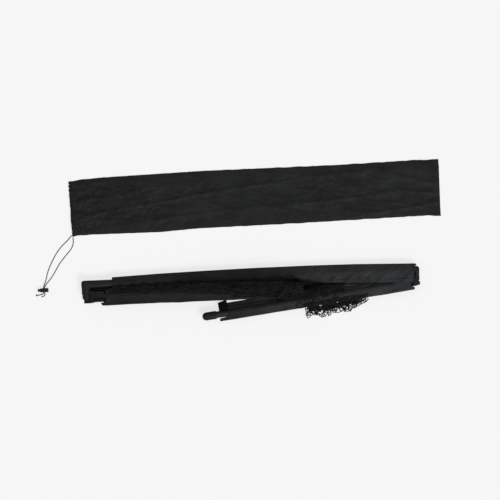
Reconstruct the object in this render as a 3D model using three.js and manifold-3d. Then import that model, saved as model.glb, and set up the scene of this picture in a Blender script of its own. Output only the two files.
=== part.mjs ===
// A small folding floorball goal, folded flat on the ground, with its carry bag laid beside it.
// Millimetres, +Z up. The crossbar lies along X, the posts fold towards it from the -Y side.
// The model stands on Z = 0, with its origin under the middle of the goal and bag together.

import * as THREE from 'three';
import { mergeVertices } from 'three/addons/utils/BufferGeometryUtils.js';
import Module from 'manifold-3d';

const wasm = await Module();
wasm.setup();

// General fits
const gap = 0.3;
const overrun = 1;
const roundSides = 24;
const smallSides = 14;

// Goal frame
const overallWidth = 900;
const elbowDiameter = 21.5;
const crossbarDiameter = 20;
const postDiameter = 18;
const tubeWall = 1;
const axisHeight = 17;
const pinDrop = 32.5;
const pinDiameter = 6;
const postReach = 575.5;
const rightOpenAngle = THREE.MathUtils.degToRad(6.75);
const leftCantAngle = THREE.MathUtils.degToRad(4.8);

// Corner elbows
const elbowArmInward = 75;
const elbowArmEnd = 39.8;
const elbowCornerRadius = 6;
const elbowSpigotLength = 28;
const elbowFilletRadius = 3;
const elbowShoulder = 26;
const elbowNotchDepth = 2.4;
const leftLipOut = -2.2;
const rightLipOut = 1.2;
const elbowPadWidth = 15;
const elbowPadInset = 3;
const clevisSlot = 10.6;
const clevisTop = 22.5;
const lockBore = 9;
const lockBoreTop = 3;
const lockSlotWidth = 2.6;
const lockSlotTop = 3.7;
const lockSlotAboveClevis = 1;

// Post fittings
const tongueThickness = 10;
const tongueRadius = 9.5;
const flangeStart = 13.4;
const flangeThickness = 7.6;
const fittingHalfWidth = 16.5;
const neckInset = 1.5;
const fittingHalfDepth = 9;
const fittingCorner = 4.5;
const neckEnd = 49;
const neckGrooveWidth = 6.5;
const neckGrooveDepth = 4.5;
const neckGrooveAt = 2;
const neckEdgeGroove = 4.5;
const heelInner = 7;
const heelOuter = 17.5;
const heelBack = 5.4;
const fittingSpigotLength = 30;

// Feet and ground runners
const capDiameter = 21.8;
const capLength = 37.5;
const capFloor = 8;
const blockSetback = 70.2;
const blockLength = 23.7;
const blockReach = 35.5;
const blockNarrowReach = 30.5;
const pinSpan = 22;
const blockTopRise = 4;
const blockSaddleReach = 4;
const runnerOffset = 9;
const runnerDrop = 11;
const runnerDiameter = 7;
const runnerEyeWidth = 7;
const runnerTipFromNeck = 63;
const runnerPinDiameter = 3;
const runnerSlotRoof = 1;
const runnerPlugHead = 4;
const runnerPlugDiameter = 4;
const runnerPlugLength = 12;

// Rivets
const rivetDiameter = 4;
const elbowRivetIn = 14;
const postRivetIn = 16;

// Corner locks
const boltDiameter = 8.4;
const boltLength = 12;
const boltTabWidth = 1.8;
const boltTabLength = 7;
const boltTabSetback = 2.5;
const boltTabBelowFace = 4;
const springWire = 0.9;
const springDiameter = 7;
const springTurns = 5;

// Fabric sleeves
const clothWall = 1.2;
const sleeveBoreSlack = 0.3;
const postSleeveSetback = 70.5;
const postSleeveLeftStart = 53.6;
const postSleeveRightStart = 14;
const postFlapFar = 27;
const leftFlapFar = 24;
const postFlapNear = 18.5;
const flapTipAtFoot = 24;
const flapTipAtHinge = 9;
const leftFlapTip = 10;
const postFlapDrop = 2;
const postFlapHalf = 1.2;
const rightFlapAtHinge = 18.5;
const rightFlapFullAt = 130;
const crossSleeveLeftSetback = 70.75;
const crossSleeveRightSetback = 14.25;
const crossSleeveUp = 17;
const crossSleeveBow = 6.5;
const crossSkirtRight = 31.3;
const crossSkirtEndSetback = 5.25;
const crossSkirtLength = 279.25;
const crossSkirtFullLength = 189.25;
const crossSkirtRise = 12.2;
const crossSkirtRoot = 3;

// Net, gathered: one roll between crossbar and left post, and a heap beyond the right post
const netGap = 1.2;
const netThickness = 8;
const netNear = 14;
const netStartSetback = 84.25;
const netFarAtStart = 22;
const netFarAtFoot = 56;
const netDropLength = 16;
const netRightNear = 33;
const netEndSetback = 104.25;
const spillStartSetback = 298.25;
const spillEndSetback = 131.25;
const spillWidth = 34;
const spillHeight = 11;
const spillLift = 0.4;

// Carry bag, flat on the ground
const bagPastLeft = 21;
const bagPastRight = 64.6;
const bagEdgeThickness = 2.4;
const bagCrown = 8;
// The bag's two long edges: each point is a share of its length, and its distance from the crossbar's axis
const bagLowerEdge = [
  [0, 129.5], [0.04, 132.5], [0.24, 131.5], [0.34, 137], [0.6, 138], [0.8, 141.5], [0.97, 143.5], [1, 141],
];
const bagUpperEdge = [
  [0, 276], [0.06, 281], [0.2, 285.5], [0.36, 289], [0.72, 288.5], [0.9, 292], [1, 292.6],
];

// Draw cord with its lock
const cordDiameter = 2.4;
const lockBarrelDiameter = 11;
const lockBarrelLength = 21;
const lockButtonOut = 7;
const lockButtonIn = 13.5;
const lockWall = 1.4;
const lockCordSlotLength = 6;
const lockCordSlotFromEnd = 5.5;
const lockSpringWire = 0.8;
const lockSpringTurns = 3;
const cordLockX = -562;
const cordLockY = -10;
const cordKnotDiameter = 5;
const tailKnotX = -573;
const tailKnotY = -23;

const pinX = (overallWidth - elbowDiameter) / 2;
const elbowRadius = elbowDiameter / 2;
const neckHalfWidth = fittingHalfWidth - neckInset;
const blockStart = postReach - blockSetback;
const pivotX = blockStart + blockLength / 2;
const runnerLength = pivotX - neckEnd - runnerTipFromNeck;
const postSleeveEnd = postReach - postSleeveSetback;
const crossSleeveLeft = pinX - crossSleeveLeftSetback;
const crossSleeveRight = pinX - crossSleeveRightSetback;
const crossSkirtEndX = pinX - crossSkirtEndSetback;
const crossSkirtStartX = pinX - crossSkirtLength;
const crossSkirtFullX = pinX - crossSkirtFullLength;
const netStartX = netStartSetback - pinX;
const netRightEndX = pinX - netEndSetback;
const spillStartX = pinX - spillStartSetback;
const spillEndX = pinX - spillEndSetback;
const bagLeftX = -overallWidth / 2 - bagPastLeft;
const bagRightX = overallWidth / 2 + bagPastRight;

// Solids: joining, cutting and handing back

function toSolid(geometry) {
  const bare = geometry.clone();
  bare.deleteAttribute('normal');
  bare.deleteAttribute('uv');
  const merged = mergeVertices(bare, gap / 1000);
  return new wasm.Manifold(new wasm.Mesh({
    numProp: 3,
    vertProperties: new Float32Array(merged.attributes.position.array),
    triVerts: new Uint32Array(merged.index.array),
  }));
}

function toGeometry(solid) {
  const mesh = solid.getMesh();
  const geometry = new THREE.BufferGeometry();
  geometry.setAttribute('position', new THREE.BufferAttribute(new Float32Array(mesh.vertProperties), 3));
  geometry.setIndex(new THREE.BufferAttribute(new Uint32Array(mesh.triVerts), 1));
  return geometry;
}

function joined(...geometries) {
  return toGeometry(geometries.map(toSolid).reduce((a, b) => a.add(b)));
}

function cutBy(geometry, ...tools) {
  return toGeometry(tools.map(toSolid).reduce((a, b) => a.subtract(b), toSolid(geometry)));
}

function common(a, b) {
  return toGeometry(toSolid(a).intersect(toSolid(b)));
}

// Simple shapes placed where they are wanted

const at = (x, y, z) => new THREE.Vector3(x, y, z);

function block(x0, x1, y0, y1, z0, z1) {
  const low = new THREE.Vector3(Math.min(x0, x1), Math.min(y0, y1), Math.min(z0, z1));
  const high = new THREE.Vector3(Math.max(x0, x1), Math.max(y0, y1), Math.max(z0, z1));
  const size = high.clone().sub(low);
  const middle = low.clone().add(high).multiplyScalar(1 / 2);
  return new THREE.BoxGeometry(size.x, size.y, size.z).translate(middle.x, middle.y, middle.z);
}

function rod(from, to, radius, sides = roundSides) {
  const span = to.clone().sub(from);
  const turn = new THREE.Quaternion().setFromUnitVectors(at(0, 1, 0), span.clone().normalize());
  const middle = from.clone().add(to).multiplyScalar(1 / 2);
  return new THREE.CylinderGeometry(radius, radius, span.length(), sides)
    .applyQuaternion(turn).translate(middle.x, middle.y, middle.z);
}

function plate(shape, z0, z1, sides = smallSides) {
  return new THREE.ExtrudeGeometry(shape, { depth: z1 - z0, bevelEnabled: false, curveSegments: sides })
    .translate(0, 0, z0);
}

function roundedBox(x0, x1, halfWidth, halfDepth, corner) {
  const shape = new THREE.Shape();
  shape.moveTo(-halfWidth + corner, -halfDepth);
  shape.lineTo(halfWidth - corner, -halfDepth);
  shape.absarc(halfWidth - corner, -halfDepth + corner, corner, -Math.PI / 2, 0);
  shape.absarc(halfWidth - corner, halfDepth - corner, corner, 0, Math.PI / 2);
  shape.absarc(-halfWidth + corner, halfDepth - corner, corner, Math.PI / 2, Math.PI);
  shape.absarc(-halfWidth + corner, -halfDepth + corner, corner, Math.PI, 3 * Math.PI / 2);
  const along = plate(shape, x0, x1, 4);
  return along.applyMatrix4(new THREE.Matrix4().makeBasis(at(0, 1, 0), at(0, 0, 1), at(1, 0, 0)));
}

// A closed skin through equal rings of points; inner rings, if any, make a bore right through
function skinned(outer, inner) {
  const positions = [];
  const indices = [];
  const count = outer[0].length;
  const put = (rings) => {
    const first = positions.length / 3;
    rings.forEach((ring) => ring.forEach((p) => positions.push(p.x, p.y, p.z)));
    return first;
  };
  const walls = (first, rings, flip) => {
    for (let r = 0; r + 1 < rings.length; r += 1) {
      for (let k = 0; k < count; k += 1) {
        const a = first + r * count + k;
        const b = first + r * count + (k + 1) % count;
        const quad = [a, b, b + count, a, b + count, a + count];
        indices.push(...(flip ? quad.reverse() : quad));
      }
    }
  };
  const outerFirst = put(outer);
  const lastRing = (outer.length - 1) * count;
  walls(outerFirst, outer, false);
  if (inner) {
    const innerFirst = put(inner);
    walls(innerFirst, inner, true);
    for (let k = 0; k < count; k += 1) {
      const next = (k + 1) % count;
      indices.push(outerFirst + next, outerFirst + k, innerFirst + k);
      indices.push(outerFirst + next, innerFirst + k, innerFirst + next);
      indices.push(outerFirst + lastRing + k, outerFirst + lastRing + next, innerFirst + lastRing + k);
      indices.push(outerFirst + lastRing + next, innerFirst + lastRing + next, innerFirst + lastRing + k);
    }
  } else {
    for (let k = 0; k + 1 < count / 2; k += 1) {
      const across = count - 1 - k;
      const cap = [k, k + 1, across - 1, k, across - 1, across];
      indices.push(...cap.map((i) => outerFirst + lastRing + i));
      indices.push(...cap.reverse().map((i) => outerFirst + i));
    }
  }
  const geometry = new THREE.BufferGeometry();
  geometry.setAttribute('position', new THREE.Float32BufferAttribute(positions, 3));
  geometry.setIndex(indices);
  return geometry;
}

// Tubes

function tubeAlongX(x0, x1, diameter, wall) {
  const outside = rod(at(x0, 0, 0), at(x1, 0, 0), diameter / 2);
  const inside = rod(at(x0 - overrun, 0, 0), at(x1 + overrun, 0, 0), diameter / 2 - wall);
  return cutBy(outside, inside);
}

// A coil spring along Y between two heights
class Helix extends THREE.Curve {
  constructor(y0, y1, radius, turns) {
    super();
    Object.assign(this, { y0, y1, radius, turns });
  }

  getPoint(t, target = new THREE.Vector3()) {
    const angle = t * this.turns * 2 * Math.PI;
    return target.set(
      this.radius * Math.cos(angle), this.y0 + t * (this.y1 - this.y0), this.radius * Math.sin(angle));
  }
}

const springStepsPerTurn = 8;
const springSides = 5;

function springAlongY(y0, y1, diameter, wire, turns) {
  const path = new Helix(y0 + wire / 2, y1 - wire / 2, (diameter - wire) / 2, turns);
  return tubeAlong(path, wire, springSides, turns * springStepsPerTurn);
}

function tubeAlong(path, diameter, sides, stepCount) {
  const section = new THREE.Shape(Array.from({ length: sides }, (_, k) => {
    const angle = (k / sides) * 2 * Math.PI;
    return new THREE.Vector2(Math.cos(angle) * diameter / 2, Math.sin(angle) * diameter / 2);
  }));
  return new THREE.ExtrudeGeometry(section, { steps: stepCount, extrudePath: path, bevelEnabled: false });
}

// Corner elbow: measured from its corner axis, the crossbar arm along X, the post arm along -Y

function elbow(side, slotFace, cant, lipOut) {
  const inward = -side * elbowArmInward;
  const edge = side * elbowRadius;
  const plan = new THREE.Shape();
  const corner = elbowCornerRadius;
  const fillet = elbowFilletRadius;
  plan.moveTo(-elbowArmInward, elbowRadius);
  plan.lineTo(elbowRadius - corner, elbowRadius);
  plan.absarc(elbowRadius - corner, elbowRadius - corner, corner, Math.PI / 2, 0, true);
  plan.lineTo(elbowRadius, -elbowShoulder);
  plan.lineTo(elbowRadius - elbowNotchDepth, -elbowShoulder - elbowNotchDepth);
  plan.lineTo(elbowRadius + lipOut, -elbowShoulder - elbowNotchDepth * 2);
  plan.lineTo(elbowRadius + lipOut, -elbowArmEnd + fillet);
  plan.absarc(elbowRadius + lipOut - fillet, -elbowArmEnd + fillet, fillet, 0, -Math.PI / 2, true);
  plan.lineTo(-elbowRadius + fillet, -elbowArmEnd);
  plan.absarc(-elbowRadius + fillet, -elbowArmEnd + fillet, fillet, -Math.PI / 2, -Math.PI, true);
  plan.lineTo(-elbowRadius, -elbowRadius - fillet);
  plan.absarc(-elbowRadius - fillet, -elbowRadius - fillet, fillet, 0, Math.PI / 2);
  plan.lineTo(-elbowArmInward, -elbowRadius);
  plan.closePath();
  const turned = (geometry) => (side > 0 ? geometry : geometry.rotateY(Math.PI));
  const outline = turned(plate(plan, -elbowRadius, elbowRadius));
  const webStart = -side * (elbowRadius + fillet);
  const web = common(outline,
    block(webStart, edge * 2, -elbowArmEnd, elbowRadius, -elbowRadius / 2, elbowRadius / 2));
  const arms = joined(
    rod(at(inward, 0, 0), at(edge, 0, 0), elbowRadius),
    rod(at(0, -elbowArmEnd, 0), at(0, elbowRadius, 0), elbowRadius),
  );
  const half = elbowPadWidth / 2;
  const body = joined(
    common(arms, outline), web,
    rod(at(inward, 0, 0), at(inward - side * elbowSpigotLength, 0, 0), crossbarDiameter / 2 - tubeWall - gap),
    block(-half, half, -elbowArmEnd + elbowPadInset, elbowRadius - elbowPadInset, -axisHeight, 0),
  );
  const reach = elbowRadius * 2;
  const slot = block(-reach, reach, -elbowArmEnd * 2, -clevisTop, -clevisSlot / 2, clevisSlot / 2)
    .translate(0, pinDrop, 0).rotateY(cant).translate(0, -pinDrop, 0);
  const pinHole = rod(at(0, 0, -axisHeight * 2), at(0, 0, axisHeight * 2), pinDiameter / 2 + gap, smallSides)
    .rotateY(cant).translate(0, -pinDrop, 0);
  const bore = rod(at(0, -clevisTop - overrun, 0), at(0, lockBoreTop, 0), lockBore / 2);
  const lockSlot = block(-lockSlotWidth / 2, lockSlotWidth / 2,
    -clevisTop + lockSlotAboveClevis, -lockSlotTop, 0, slotFace * axisHeight * 2);
  const rivetX = inward - side * elbowRivetIn;
  const rivetHole = rod(at(rivetX, 0, 0), at(rivetX, 0, -axisHeight), rivetDiameter / 2 + gap, smallSides);
  return cutBy(body, slot, pinHole, bore, lockSlot, rivetHole);
}

function crossbarTube() {
  const end = pinX - elbowArmInward - gap;
  const tube = tubeAlongX(-end, end, crossbarDiameter, tubeWall);
  const holes = [-1, 1].map((side) => {
    const x = side * (pinX - elbowArmInward - elbowRivetIn);
    return rod(at(x, 0, 0), at(x, 0, -crossbarDiameter), rivetDiameter / 2 + gap, smallSides);
  });
  return cutBy(tube, ...holes);
}

// A flush rivet between the depths that it spans
function rivet(x, from, to) {
  return rod(at(x, 0, from), at(x, 0, to), rivetDiameter / 2, smallSides);
}

function elbowRivet(side) {
  return rivet(-side * (elbowArmInward + elbowRivetIn), -gap * 2, -crossbarDiameter / 2);
}

function lockBolt(slotFace) {
  const tip = -clevisTop - gap / 2;
  const bolt = rod(at(0, tip, 0), at(0, tip + boltLength, 0), boltDiameter / 2);
  const reach = slotFace > 0 ? elbowRadius - boltTabBelowFace : -axisHeight + boltTabBelowFace;
  const low = tip + boltTabSetback;
  return joined(bolt, block(-boltTabWidth / 2, boltTabWidth / 2, low, low + boltTabLength, 0, reach));
}

// Post pieces: measured from the hinge pin, the post along +X, its fabric flap on the -Y side

function postFitting(heelSide, heel) {
  const halfTongue = tongueThickness / 2;
  const bareTongue = joined(
    rod(at(0, 0, -halfTongue), at(0, 0, halfTongue), tongueRadius),
    block(0, flangeStart + overrun, -tongueRadius, tongueRadius, -halfTongue, halfTongue),
  );
  const tongue = heel ? joined(bareTongue, block(-heelBack, flangeStart + overrun,
    heelSide * heelInner, heelSide * heelOuter, -halfTongue, halfTongue)) : bareTongue;
  const flangeEnd = flangeStart + flangeThickness;
  const spigot = rod(at(neckEnd - overrun, 0, 0), at(neckEnd + fittingSpigotLength, 0, 0),
    postDiameter / 2 - tubeWall - gap);
  const body = joined(
    tongue,
    roundedBox(flangeStart, flangeEnd, fittingHalfWidth, fittingHalfDepth, fittingCorner),
    roundedBox(flangeEnd - overrun, neckEnd, neckHalfWidth, fittingHalfDepth - gap, fittingCorner),
  );
  const depth = fittingHalfDepth - neckGrooveDepth;
  const grooves = [1, -1].flatMap((face) => [
    block(flangeEnd, neckEnd + overrun, heelSide * neckGrooveAt, heelSide * (neckGrooveAt + neckGrooveWidth),
      face * depth, face * fittingHalfDepth * 2),
    block(flangeEnd, neckEnd + overrun, heelSide * (neckHalfWidth - neckEdgeGroove),
      heelSide * fittingHalfWidth * 2, face * depth, face * fittingHalfDepth * 2),
  ]);
  const pinHole = rod(at(0, 0, -axisHeight), at(0, 0, axisHeight), pinDiameter / 2 + gap, smallSides);
  const rivetX = neckEnd + postRivetIn;
  const rivetHole = rod(at(rivetX, 0, 0), at(rivetX, 0, -axisHeight), rivetDiameter / 2 + gap, smallSides);
  return cutBy(joined(cutBy(body, ...grooves), spigot), pinHole, rivetHole);
}

function postTube() {
  const tube = tubeAlongX(neckEnd + gap, postReach - capFloor - gap, postDiameter, tubeWall);
  const holeRadius = rivetDiameter / 2 + gap;
  const rivetX = neckEnd + postRivetIn;
  return cutBy(tube,
    rod(at(rivetX, 0, 0), at(rivetX, 0, -postDiameter), holeRadius, smallSides),
    rod(at(pivotX, 0, 0), at(pivotX, -postDiameter, 0), holeRadius, smallSides));
}

function footCap() {
  const radius = capDiameter / 2;
  const start = postReach - capLength;
  const profile = [new THREE.Vector2(0, start), new THREE.Vector2(radius, start)];
  const arcSteps = 6;
  for (let k = 0; k <= arcSteps; k += 1) {
    const angle = (k / arcSteps) * Math.PI / 2;
    profile.push(new THREE.Vector2(
      k === arcSteps ? 0 : radius * Math.cos(angle), postReach - radius + radius * Math.sin(angle)));
  }
  const cap = new THREE.LatheGeometry(profile, roundSides).rotateZ(-Math.PI / 2);
  return cutBy(cap, rod(at(start - overrun, 0, 0), at(postReach - capFloor, 0, 0), postDiameter / 2 + gap));
}

function footBlock() {
  const end = blockStart + blockLength;
  const top = blockTopRise;
  const eye = runnerDiameter / 2;
  const bottom = -runnerDrop - eye - gap;
  const outline = new THREE.Shape();
  outline.moveTo(blockStart, -blockSaddleReach);
  outline.lineTo(blockStart, -blockReach);
  outline.lineTo(end, -blockNarrowReach - gap);
  outline.lineTo(end, -blockSaddleReach);
  outline.closePath();
  const body = plate(outline, bottom, top);
  const tubeRoom = rod(at(blockStart - overrun, 0, 0), at(end + overrun, 0, 0), postDiameter / 2 + gap);
  const cheek = -runnerOffset - runnerEyeWidth / 2 - gap;
  const slot = block(blockStart - overrun, end + overrun, cheek, 0, bottom - overrun,
    -runnerDrop + eye + runnerSlotRoof);
  const pinHole = rod(at(pivotX, -pinSpan - gap, -runnerDrop), at(pivotX, 0, -runnerDrop),
    runnerPinDiameter / 2 + gap, smallSides);
  const rivetHole = rod(at(pivotX, -blockReach / 2, 0), at(pivotX, 0, 0),
    rivetDiameter / 2 + gap, smallSides);
  return cutBy(body, tubeRoom, slot, pinHole, rivetHole);
}

function blockRivet() {
  return rod(at(pivotX, -postDiameter / 4, 0), at(pivotX, -postDiameter / 2 - blockSaddleReach, 0),
    rivetDiameter / 2, smallSides);
}

function runnerPin() {
  const inner = -runnerOffset + runnerEyeWidth / 2;
  return rod(at(pivotX, -pinSpan, -runnerDrop), at(pivotX, inner, -runnerDrop),
    runnerPinDiameter / 2, smallSides);
}

function runnerRod() {
  const half = runnerEyeWidth / 2;
  const tip = pivotX - runnerLength;
  const eye = rod(at(pivotX, -runnerOffset - half, -runnerDrop),
    at(pivotX, -runnerOffset + half, -runnerDrop), runnerDiameter / 2);
  const bar = rod(at(tip, -runnerOffset, -runnerDrop), at(pivotX, -runnerOffset, -runnerDrop),
    runnerDiameter / 2, smallSides);
  const hole = rod(at(pivotX, -blockReach, -runnerDrop), at(pivotX, 0, -runnerDrop),
    runnerPinDiameter / 2 + gap, smallSides);
  const plugRoom = rod(at(tip - overrun, -runnerOffset, -runnerDrop),
    at(tip + runnerPlugLength + gap, -runnerOffset, -runnerDrop), runnerPlugDiameter / 2 + gap, smallSides);
  return cutBy(joined(eye, bar), hole, plugRoom);
}

// The plug that closes the runner's free end
function runnerCap() {
  const tip = pivotX - runnerLength - gap;
  const place = (x) => at(x, -runnerOffset, -runnerDrop);
  return joined(
    rod(place(tip - runnerPlugHead), place(tip), runnerDiameter / 2, smallSides),
    rod(place(tip - overrun), place(tip + runnerPlugLength), runnerPlugDiameter / 2, smallSides),
  );
}

// Fabric sleeves: rings of points across X, the same count inside and out

function ring(x, points) {
  return points.map(([y, z]) => at(x, y, z));
}

const ringAngles = Array.from({ length: roundSides }, (_, k) => (k / roundSides) * 2 * Math.PI);

// A round or boxy tunnel: each point lies at its angle on a rounded box of these half sizes
function tunnel(halfWidth, halfDepth, squareness) {
  return ringAngles.map((angle) => {
    const c = Math.cos(angle);
    const s = Math.sin(angle);
    const power = 2 / squareness;
    return [Math.sign(c) * halfWidth * Math.abs(c) ** power, Math.sign(s) * halfDepth * Math.abs(s) ** power];
  });
}

// The tunnel grown by the cloth's wall, with the points near each edge drawn out into a flat flap
function withFlaps(inside, wall, near, far, nearHeight, farHeight, flapHalf) {
  const edgeAngle = 2 * Math.PI / roundSides;
  return inside.map(([y, z], k) => {
    const length = Math.hypot(y, z);
    const grown = [y * (length + wall) / length, z * (length + wall) / length];
    const fromNear = Math.min(k, roundSides - k);
    const fromFar = Math.abs(k - roundSides / 2);
    const upward = Math.sin(k * edgeAngle) >= 0 ? 1 : -1;
    const half = fromNear === 0 || fromFar === 0 ? 0 : flapHalf;
    if (fromNear <= 1 && near > grown[0]) return [near - half / 2, nearHeight + upward * half];
    if (fromFar <= 1 && far > -grown[0]) return [-far + half / 2, farHeight + upward * half];
    return grown;
  });
}

function steps(from, to, count) {
  return Array.from({ length: count + 1 }, (_, k) => from + (to - from) * k / count);
}

const postSleeveStations = 5;

// The flaps' tips run out past the tunnel: the near one at both ends, the far one at the start
function postSleeve(startX, fullAt, flapAtStart, flapFar, nearTipAtStart, farTipAtStart) {
  const wideBore = fittingHalfWidth + gap;
  const roundBore = postDiameter / 2 + sleeveBoreSlack;
  const stations = [startX];
  const covers = startX < neckEnd;
  if (covers) stations.push(neckEnd + gap, neckEnd + postDiameter);
  const fullRound = covers ? neckEnd + postDiameter * 2 : startX + postDiameter;
  stations.push(...steps(fullRound, postSleeveEnd, postSleeveStations));
  const insides = stations.map((x) => (covers && x < neckEnd + postDiameter
    ? tunnel(wideBore + gap, fittingHalfDepth + gap, 6)
    : tunnel(roundBore, roundBore, 2)));
  const outsides = stations.map((x, k) => {
    const share = THREE.MathUtils.clamp((x - startX) / (fullAt - startX), 0, 1);
    const far = flapAtStart + (flapFar - flapAtStart) * share;
    return withFlaps(insides[k], clothWall, postFlapNear, far, -postFlapHalf, -postFlapDrop, postFlapHalf);
  });
  const outerRings = outsides.map((points, k) => ring(stations[k], points));
  const first = outerRings[0];
  const last = outerRings[outerRings.length - 1];
  [-1, 0, 1].forEach((step) => {
    const nearPoint = (step + roundSides) % roundSides;
    first[nearPoint].x -= nearTipAtStart;
    last[nearPoint].x += flapTipAtFoot;
    first[roundSides / 2 + step].x -= farTipAtStart;
  });
  return skinned(outerRings, insides.map((points, k) => ring(stations[k], points)));
}

const crossSleeveStations = 8;

function crossbarSleeve() {
  const bore = elbowRadius + sleeveBoreSlack;
  const stations = steps(-crossSleeveLeft, crossSleeveRight, crossSleeveStations);
  const inside = tunnel(bore, bore, 2);
  const middle = (crossSleeveRight - crossSleeveLeft) / 2;
  const span = (crossSleeveRight + crossSleeveLeft) / 2;
  const outsides = stations.map((x) => {
    const bow = crossSleeveBow * (1 - ((x - middle) / span) ** 2);
    return withFlaps(inside, clothWall, crossSleeveUp + bow, 0, 0, 0, clothWall);
  });
  const tunnelPart = skinned(
    outsides.map((points, k) => ring(stations[k], points)),
    stations.map((x) => ring(x, inside)),
  );
  return joined(tunnelPart, crossbarSkirt(bore + clothWall));
}

// The sleeve's spare cloth, lying from the crossbar's upper side out over the right post
function crossbarSkirt(outside) {
  const places = [crossSkirtStartX, crossSkirtFullX, crossSkirtEndX];
  const reaches = [outside, crossSkirtRight, crossSkirtRight];
  return skinned(places.map((x, k) => sectionRing(
    x, -crossSkirtRoot, -reaches[k], () => crossSkirtRise - clothWall, () => clothWall * 2)));
}

// Net, in the goal's own frame

const roundedSleeve = postDiameter / 2 + sleeveBoreSlack + clothWall;
const leftFootX = -pinX + postReach * Math.cos(leftCantAngle);
const netSamples = 8;

// Height above a post sleeve's axis of its upper side, at a distance across it
function sleeveTop(across, near, far) {
  const reach = across > 0 ? near : far;
  const edge = across > 0 ? 0 : -postFlapDrop + postFlapHalf;
  const bend = roundedSleeve * Math.cos(2 * Math.PI / roundSides * 2);
  const d = Math.abs(across);
  if (d <= bend) return Math.sqrt(roundedSleeve ** 2 - d ** 2);
  const shoulder = Math.sqrt(roundedSleeve ** 2 - bend ** 2);
  return shoulder + (edge - shoulder) * Math.min(1, (d - bend) / (reach - bend));
}

function sectionRing(x, nearY, farY, floorAt, heightAt) {
  const samples = steps(0, 1, netSamples);
  const lower = samples.map((share) => {
    const y = farY + (nearY - farY) * share;
    return at(x, y, floorAt(y));
  });
  const upper = samples.map((share, k) => at(x, lower[k].y, lower[k].z + heightAt(share))).reverse();
  return [...lower, ...upper];
}

const netEdgeShare = 0.35;

function netRoll() {
  const crown = (share) => netThickness * (netEdgeShare + (1 - netEdgeShare) * Math.sin(Math.PI * share));
  const overLeft = steps(netStartX, leftFootX, netSamples * 2).map((x) => {
    const share = (x - netStartX) / (leftFootX - netStartX);
    const far = netFarAtStart + (netFarAtFoot - netFarAtStart) * share;
    const axis = axisHeight + (x + pinX) * Math.tan(leftCantAngle);
    const lean = 1 / Math.cos(leftCantAngle);
    const blockTop = blockTopRise + blockReach * Math.sin(leftCantAngle);
    const least = x + pinX > blockStart - postDiameter * 2 ? blockTop : -postFlapDrop;
    const floor = (y) => axis
      + (Math.max(least, sleeveTop(y + pinDrop, postFlapNear, postFlapFar)) + netGap) * lean;
    return sectionRing(x, -netNear, -far, floor, crown);
  });
  const overRight = steps(leftFootX + netDropLength, netRightEndX, netSamples).map((x) => {
    const postY = -pinDrop - (pinX - x) * Math.tan(rightOpenAngle);
    const share = (x - leftFootX) / (netRightEndX - leftFootX);
    const floor = (y) => axisHeight + sleeveTop(postY - y, postFlapNear, postFlapFar) + netGap;
    const far = Math.min(postY + roundedSleeve * share, -netRightNear - roundedSleeve / 2);
    return sectionRing(x, -netRightNear, far, floor, crown);
  });
  return skinned([...overLeft, ...overRight]);
}

const spillWidthShares = [0.6, 0.88, 1, 1, 0.86, 0.8, 0.75, 0.55, 0.36];

function netSpill() {
  const places = steps(spillStartX, spillEndX, spillWidthShares.length - 1);
  return skinned(places.map((x, k) => {
    const postY = -pinDrop - (pinX - x) * Math.tan(rightOpenAngle);
    const near = postY - (roundedSleeve + gap) / Math.cos(rightOpenAngle);
    const rise = (share) => Math.sin(Math.min(1, 2 * share) * Math.PI / 2);
    const height = (share) => spillHeight * (netEdgeShare + (1 - netEdgeShare) * rise(share));
    return sectionRing(x, near, near - spillWidth * spillWidthShares[k], () => spillLift, height);
  }));
}

// Carry bag and its cord, in the goal's own frame

// A place on an edge given by a few points, straight between them
function along(edge, share) {
  const next = Math.max(1, edge.findIndex(([place]) => place >= share));
  const [[place0, value0], [place1, value1]] = [edge[next - 1], edge[next]];
  return value0 + (value1 - value0) * (share - place0) / (place1 - place0);
}

function carryBag() {
  const shares = new Set([...bagLowerEdge, ...bagUpperEdge].map(([share]) => share));
  return skinned([...shares].sort((a, b) => a - b).map((share) => {
    const x = bagLeftX + (bagRightX - bagLeftX) * share;
    const bow = Math.sin(Math.PI * share);
    const height = (across) => bagEdgeThickness
      + (bagCrown - bagEdgeThickness) * Math.sqrt(Math.sin(Math.PI * across) * bow + gap ** 4);
    return sectionRing(x, along(bagUpperEdge, share), along(bagLowerEdge, share), () => 0, height);
  }));
}

const cordSides = 8;
const cordSteps = 44;
const tailSteps = 8;
const lockAxisHeight = lockBarrelDiameter / 2;

// Points of the two cord runs from the bag's mouth to the lock, and of the tails beyond it
const upperCordRoute = [
  [-471.9, 132.2, 1.8], [-474.5, 131, 1.5], [-481, 124, 1.3], [-489, 116, 1.3], [-500, 106, 1.3],
  [-512, 92, 1.3], [-520, 80, 1.3], [-528, 66, 1.3], [-536, 50, 1.3], [-542, 35, 1.3], [-546, 20, 1.5],
  [-550, 8, 3], [-553.4, -1, 5.5], [-554, -4.2, 5.5],
];
const lowerCordRoute = [
  [-469.8, 127.7, 1.6], [-469.3, 124.5, 1.3], [-469, 117, 1.3], [-472, 104, 1.3], [-480, 92, 1.3],
  [-490, 81, 1.3], [-501, 68, 1.3], [-511, 55, 1.3], [-519, 42, 1.3], [-528, 28, 1.3], [-538, 15, 1.5],
  [-546, 6, 3], [-550.4, -1, 5.5], [-551, -4.2, 5.5],
];
const upperTailRoute = [
  [-554, -16, 5.5], [-554.1, -17.6, 5.3], [-556.5, -20, 3.6], [-563, -22, 2.5], [-570.2, -22.8, 2.5],
];
const lowerTailRoute = [
  [-551, -16, 5.5], [-550.9, -17.6, 5.2], [-551, -20.6, 2.8], [-554, -25.5, 1.4], [-561, -27.5, 1.3],
];

function cord(route, stepCount) {
  const curve = new THREE.CatmullRomCurve3(route.map(([x, y, z]) => at(x, y, z)), false, 'centripetal');
  return tubeAlong(curve, cordDiameter, cordSides, stepCount);
}

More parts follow.
